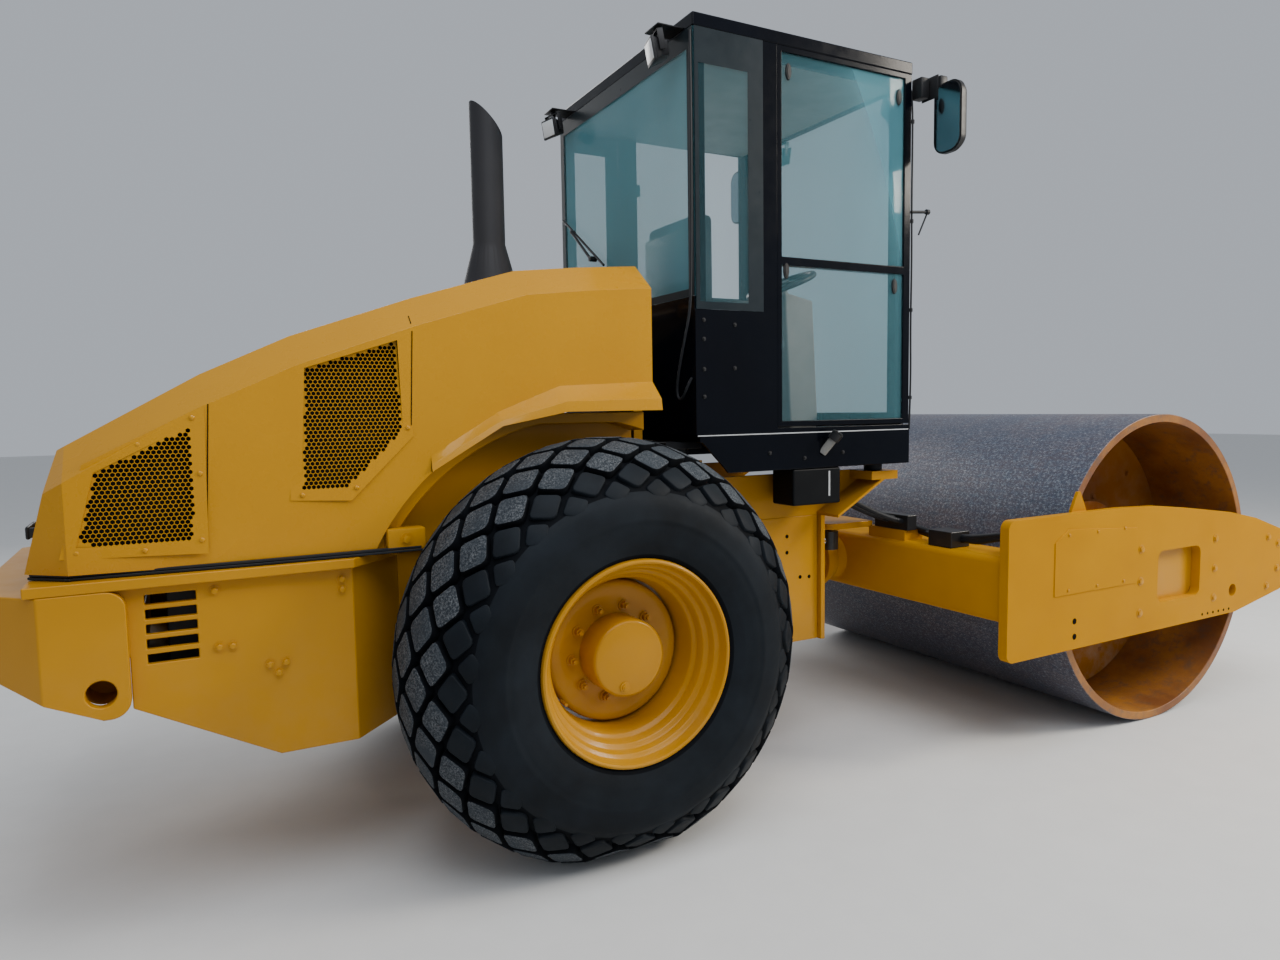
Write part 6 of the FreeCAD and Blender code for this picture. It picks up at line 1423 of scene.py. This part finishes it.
dark_discs("yoke_pinholes", "yoke", CHEEK_PINHOLES, CHEEK_OUT, 0.014)
dark_discs("yoke_row_holes", "yoke", CHEEK_ROW, CHEEK_OUT, 0.007)
dark_discs("frame_pinholes", "tractor", FRAME_PINHOLES, 0.450, 0.009)

sleeves = bmesh.new()
for side in (-1, 1):
    cup = bmesh.new()
    lathe(cup, [(0.052, 0.609), (0.052, 0.49), (0.0, 0.49)], (along(-1.576), 0.790), 32, side)
    stamp(sleeves, kept_mesh("tow_cup", cup))
hand_over("tow_sleeves", sleeves, "tractor", [ochre_paint], smooth=40)
print("bolts and sleeves done")

# %% Brackets on the ledge and drum head bolts
HEAD_OUT = 0.620
HEAD_BOLTS = 16
STOP_OUT = 0.664
brackets = bmesh.new()
for side in (-1, 1):
    span = (side * 0.600, side * STOP_OUT)
    block(brackets, (along(-0.735), along(-0.605)), span, (1.128, 1.205), 0.008)
    bolted(brackets, BIG_BOLT, [(-0.672, 1.168)], STOP_OUT, [side])
hand_over("hood_stops", brackets, "tractor", [ochre_paint], smooth=40)
head_bolts = bmesh.new()
for side in (-1, 1):
    for number in range(HEAD_BOLTS):
        turn = 2 * math.pi * number / HEAD_BOLTS
        for radius, mesh in ((0.60, BOLT), (0.34, BIG_BOLT)):
            place = (DRUM_X + radius * math.cos(turn), side * HEAD_OUT, DRUM_Z + radius * math.sin(turn))
            stamp(head_bolts, mesh, Matrix.Translation(place) @ facing_out(side))
hand_over("drum_head_bolts", head_bolts, "drum", [drum_bay_paint], smooth=30)
print("brackets done")

# %% [markdown]
# ## Hood joints and latch
#
# The hood is moulded in parts. Their joints are narrow gaps, and at this size a groove is only a
# shadow line, so each is a dark strip that follows the wall, a hair proud of it. The latch is a
# pull handle to the right of the middle of the tail.

# %% Joint lines
JOINTS_ON_HOOD = [  # upper and lower end, as station and height
    ((-0.622, 1.925), (-0.640, 1.523)),
    ((-1.253, 1.632), (-1.278, 1.184)),
]


def wall_line(bm, start, end, side, wide, out, steps=14):
    """Narrow strip on the hood's wall between two stations and heights."""
    rows = []
    for number in range(steps + 1):
        station, z = between(start, end, number / steps)
        x = along(station)
        y = side_of_hood(x, z, side) + side * out
        rows.append((bm.verts.new((x - wide / 2, y, z)), bm.verts.new((x + wide / 2, y, z))))
    for (a, b), (c, d) in zip(rows, rows[1:]):
        bm.faces.new((a, b, d, c))


joints = bmesh.new()
for side in (-1, 1):
    for start, end in JOINTS_ON_HOOD:
        wall_line(joints, start, end, side, 0.0035, 0.0012)
bmesh.ops.recalc_face_normals(joints, faces=joints.faces)
hand_over("hood_joints", joints, "hood", [bay_dark], smooth=60)

latch = bmesh.new()
tail_hit = hood_surface.ray_cast(Vector((along(-2.2), 0.0, 1.255)), Vector((1, 0, 0)))[0]
tail_x = tail_hit.x if tail_hit else along(-1.74)
block(latch, (tail_x - 0.030, tail_x - 0.018), (-0.49, -0.33), (1.235, 1.275), 0.006)
for y in (-0.478, -0.342):
    block(latch, (tail_x - 0.022, tail_x + 0.004), (y - 0.010, y + 0.010), (1.240, 1.270), 0.003)
hand_over("hood_handle", latch, "hood", [black_plastic], smooth=40)
print("hood joints and handle done")

# %% [markdown]
# ## Cab glazing
#
# Bonded panes hide their glue under a dark printed band, here on the rear window and the two rear
# quarter panes. The bands are flat rings a hair proud of the glass. The side window and the door
# need none, because their panes are clamped in frames.

# %% Printed bands
BAND_THICK = 0.0008


def frame_strip(bm, low, high, widths, place, plane, out):
    """Flat ring in a plane: widths are bottom, top, first side and second side."""
    bottom, top, first, second = widths
    parts = [((low[0], low[1]), (high[0], low[1] + bottom)),
             ((low[0], high[1] - top), (high[0], high[1])),
             ((low[0], low[1] + bottom), (low[0] + first, high[1] - top)),
             ((high[0] - second, low[1] + bottom), (high[0], high[1] - top))]
    for (a0, b0), (a1, b1) in parts:
        if a1 - a0 < 1e-4 or b1 - b0 < 1e-4:
            continue
        span = (place, place + out * BAND_THICK)
        if plane == "XZ":
            block(bm, (a0, a1), span, (b0, b1))
        else:
            block(bm, span, (a0, a1), (b0, b1))


bands = bmesh.new()
frame_strip(bands, (-CAB_HALF + 0.006, 2.040), (CAB_HALF - 0.006, ROOF_UNDER),
            (0.030, 0.075, 0.040, 0.040), CAB_BACK, "YZ", -1)
for side in (-1, 1):
    frame_strip(bands, (along(0.503), 1.988), (along(0.830), ROOF_UNDER), (0.030, 0.135, 0.018, 0.075),
                side * CAB_HALF, "XZ", side)
hand_over("glass_bands", bands, "tractor", [print_band], smooth=40)
print("bands done")
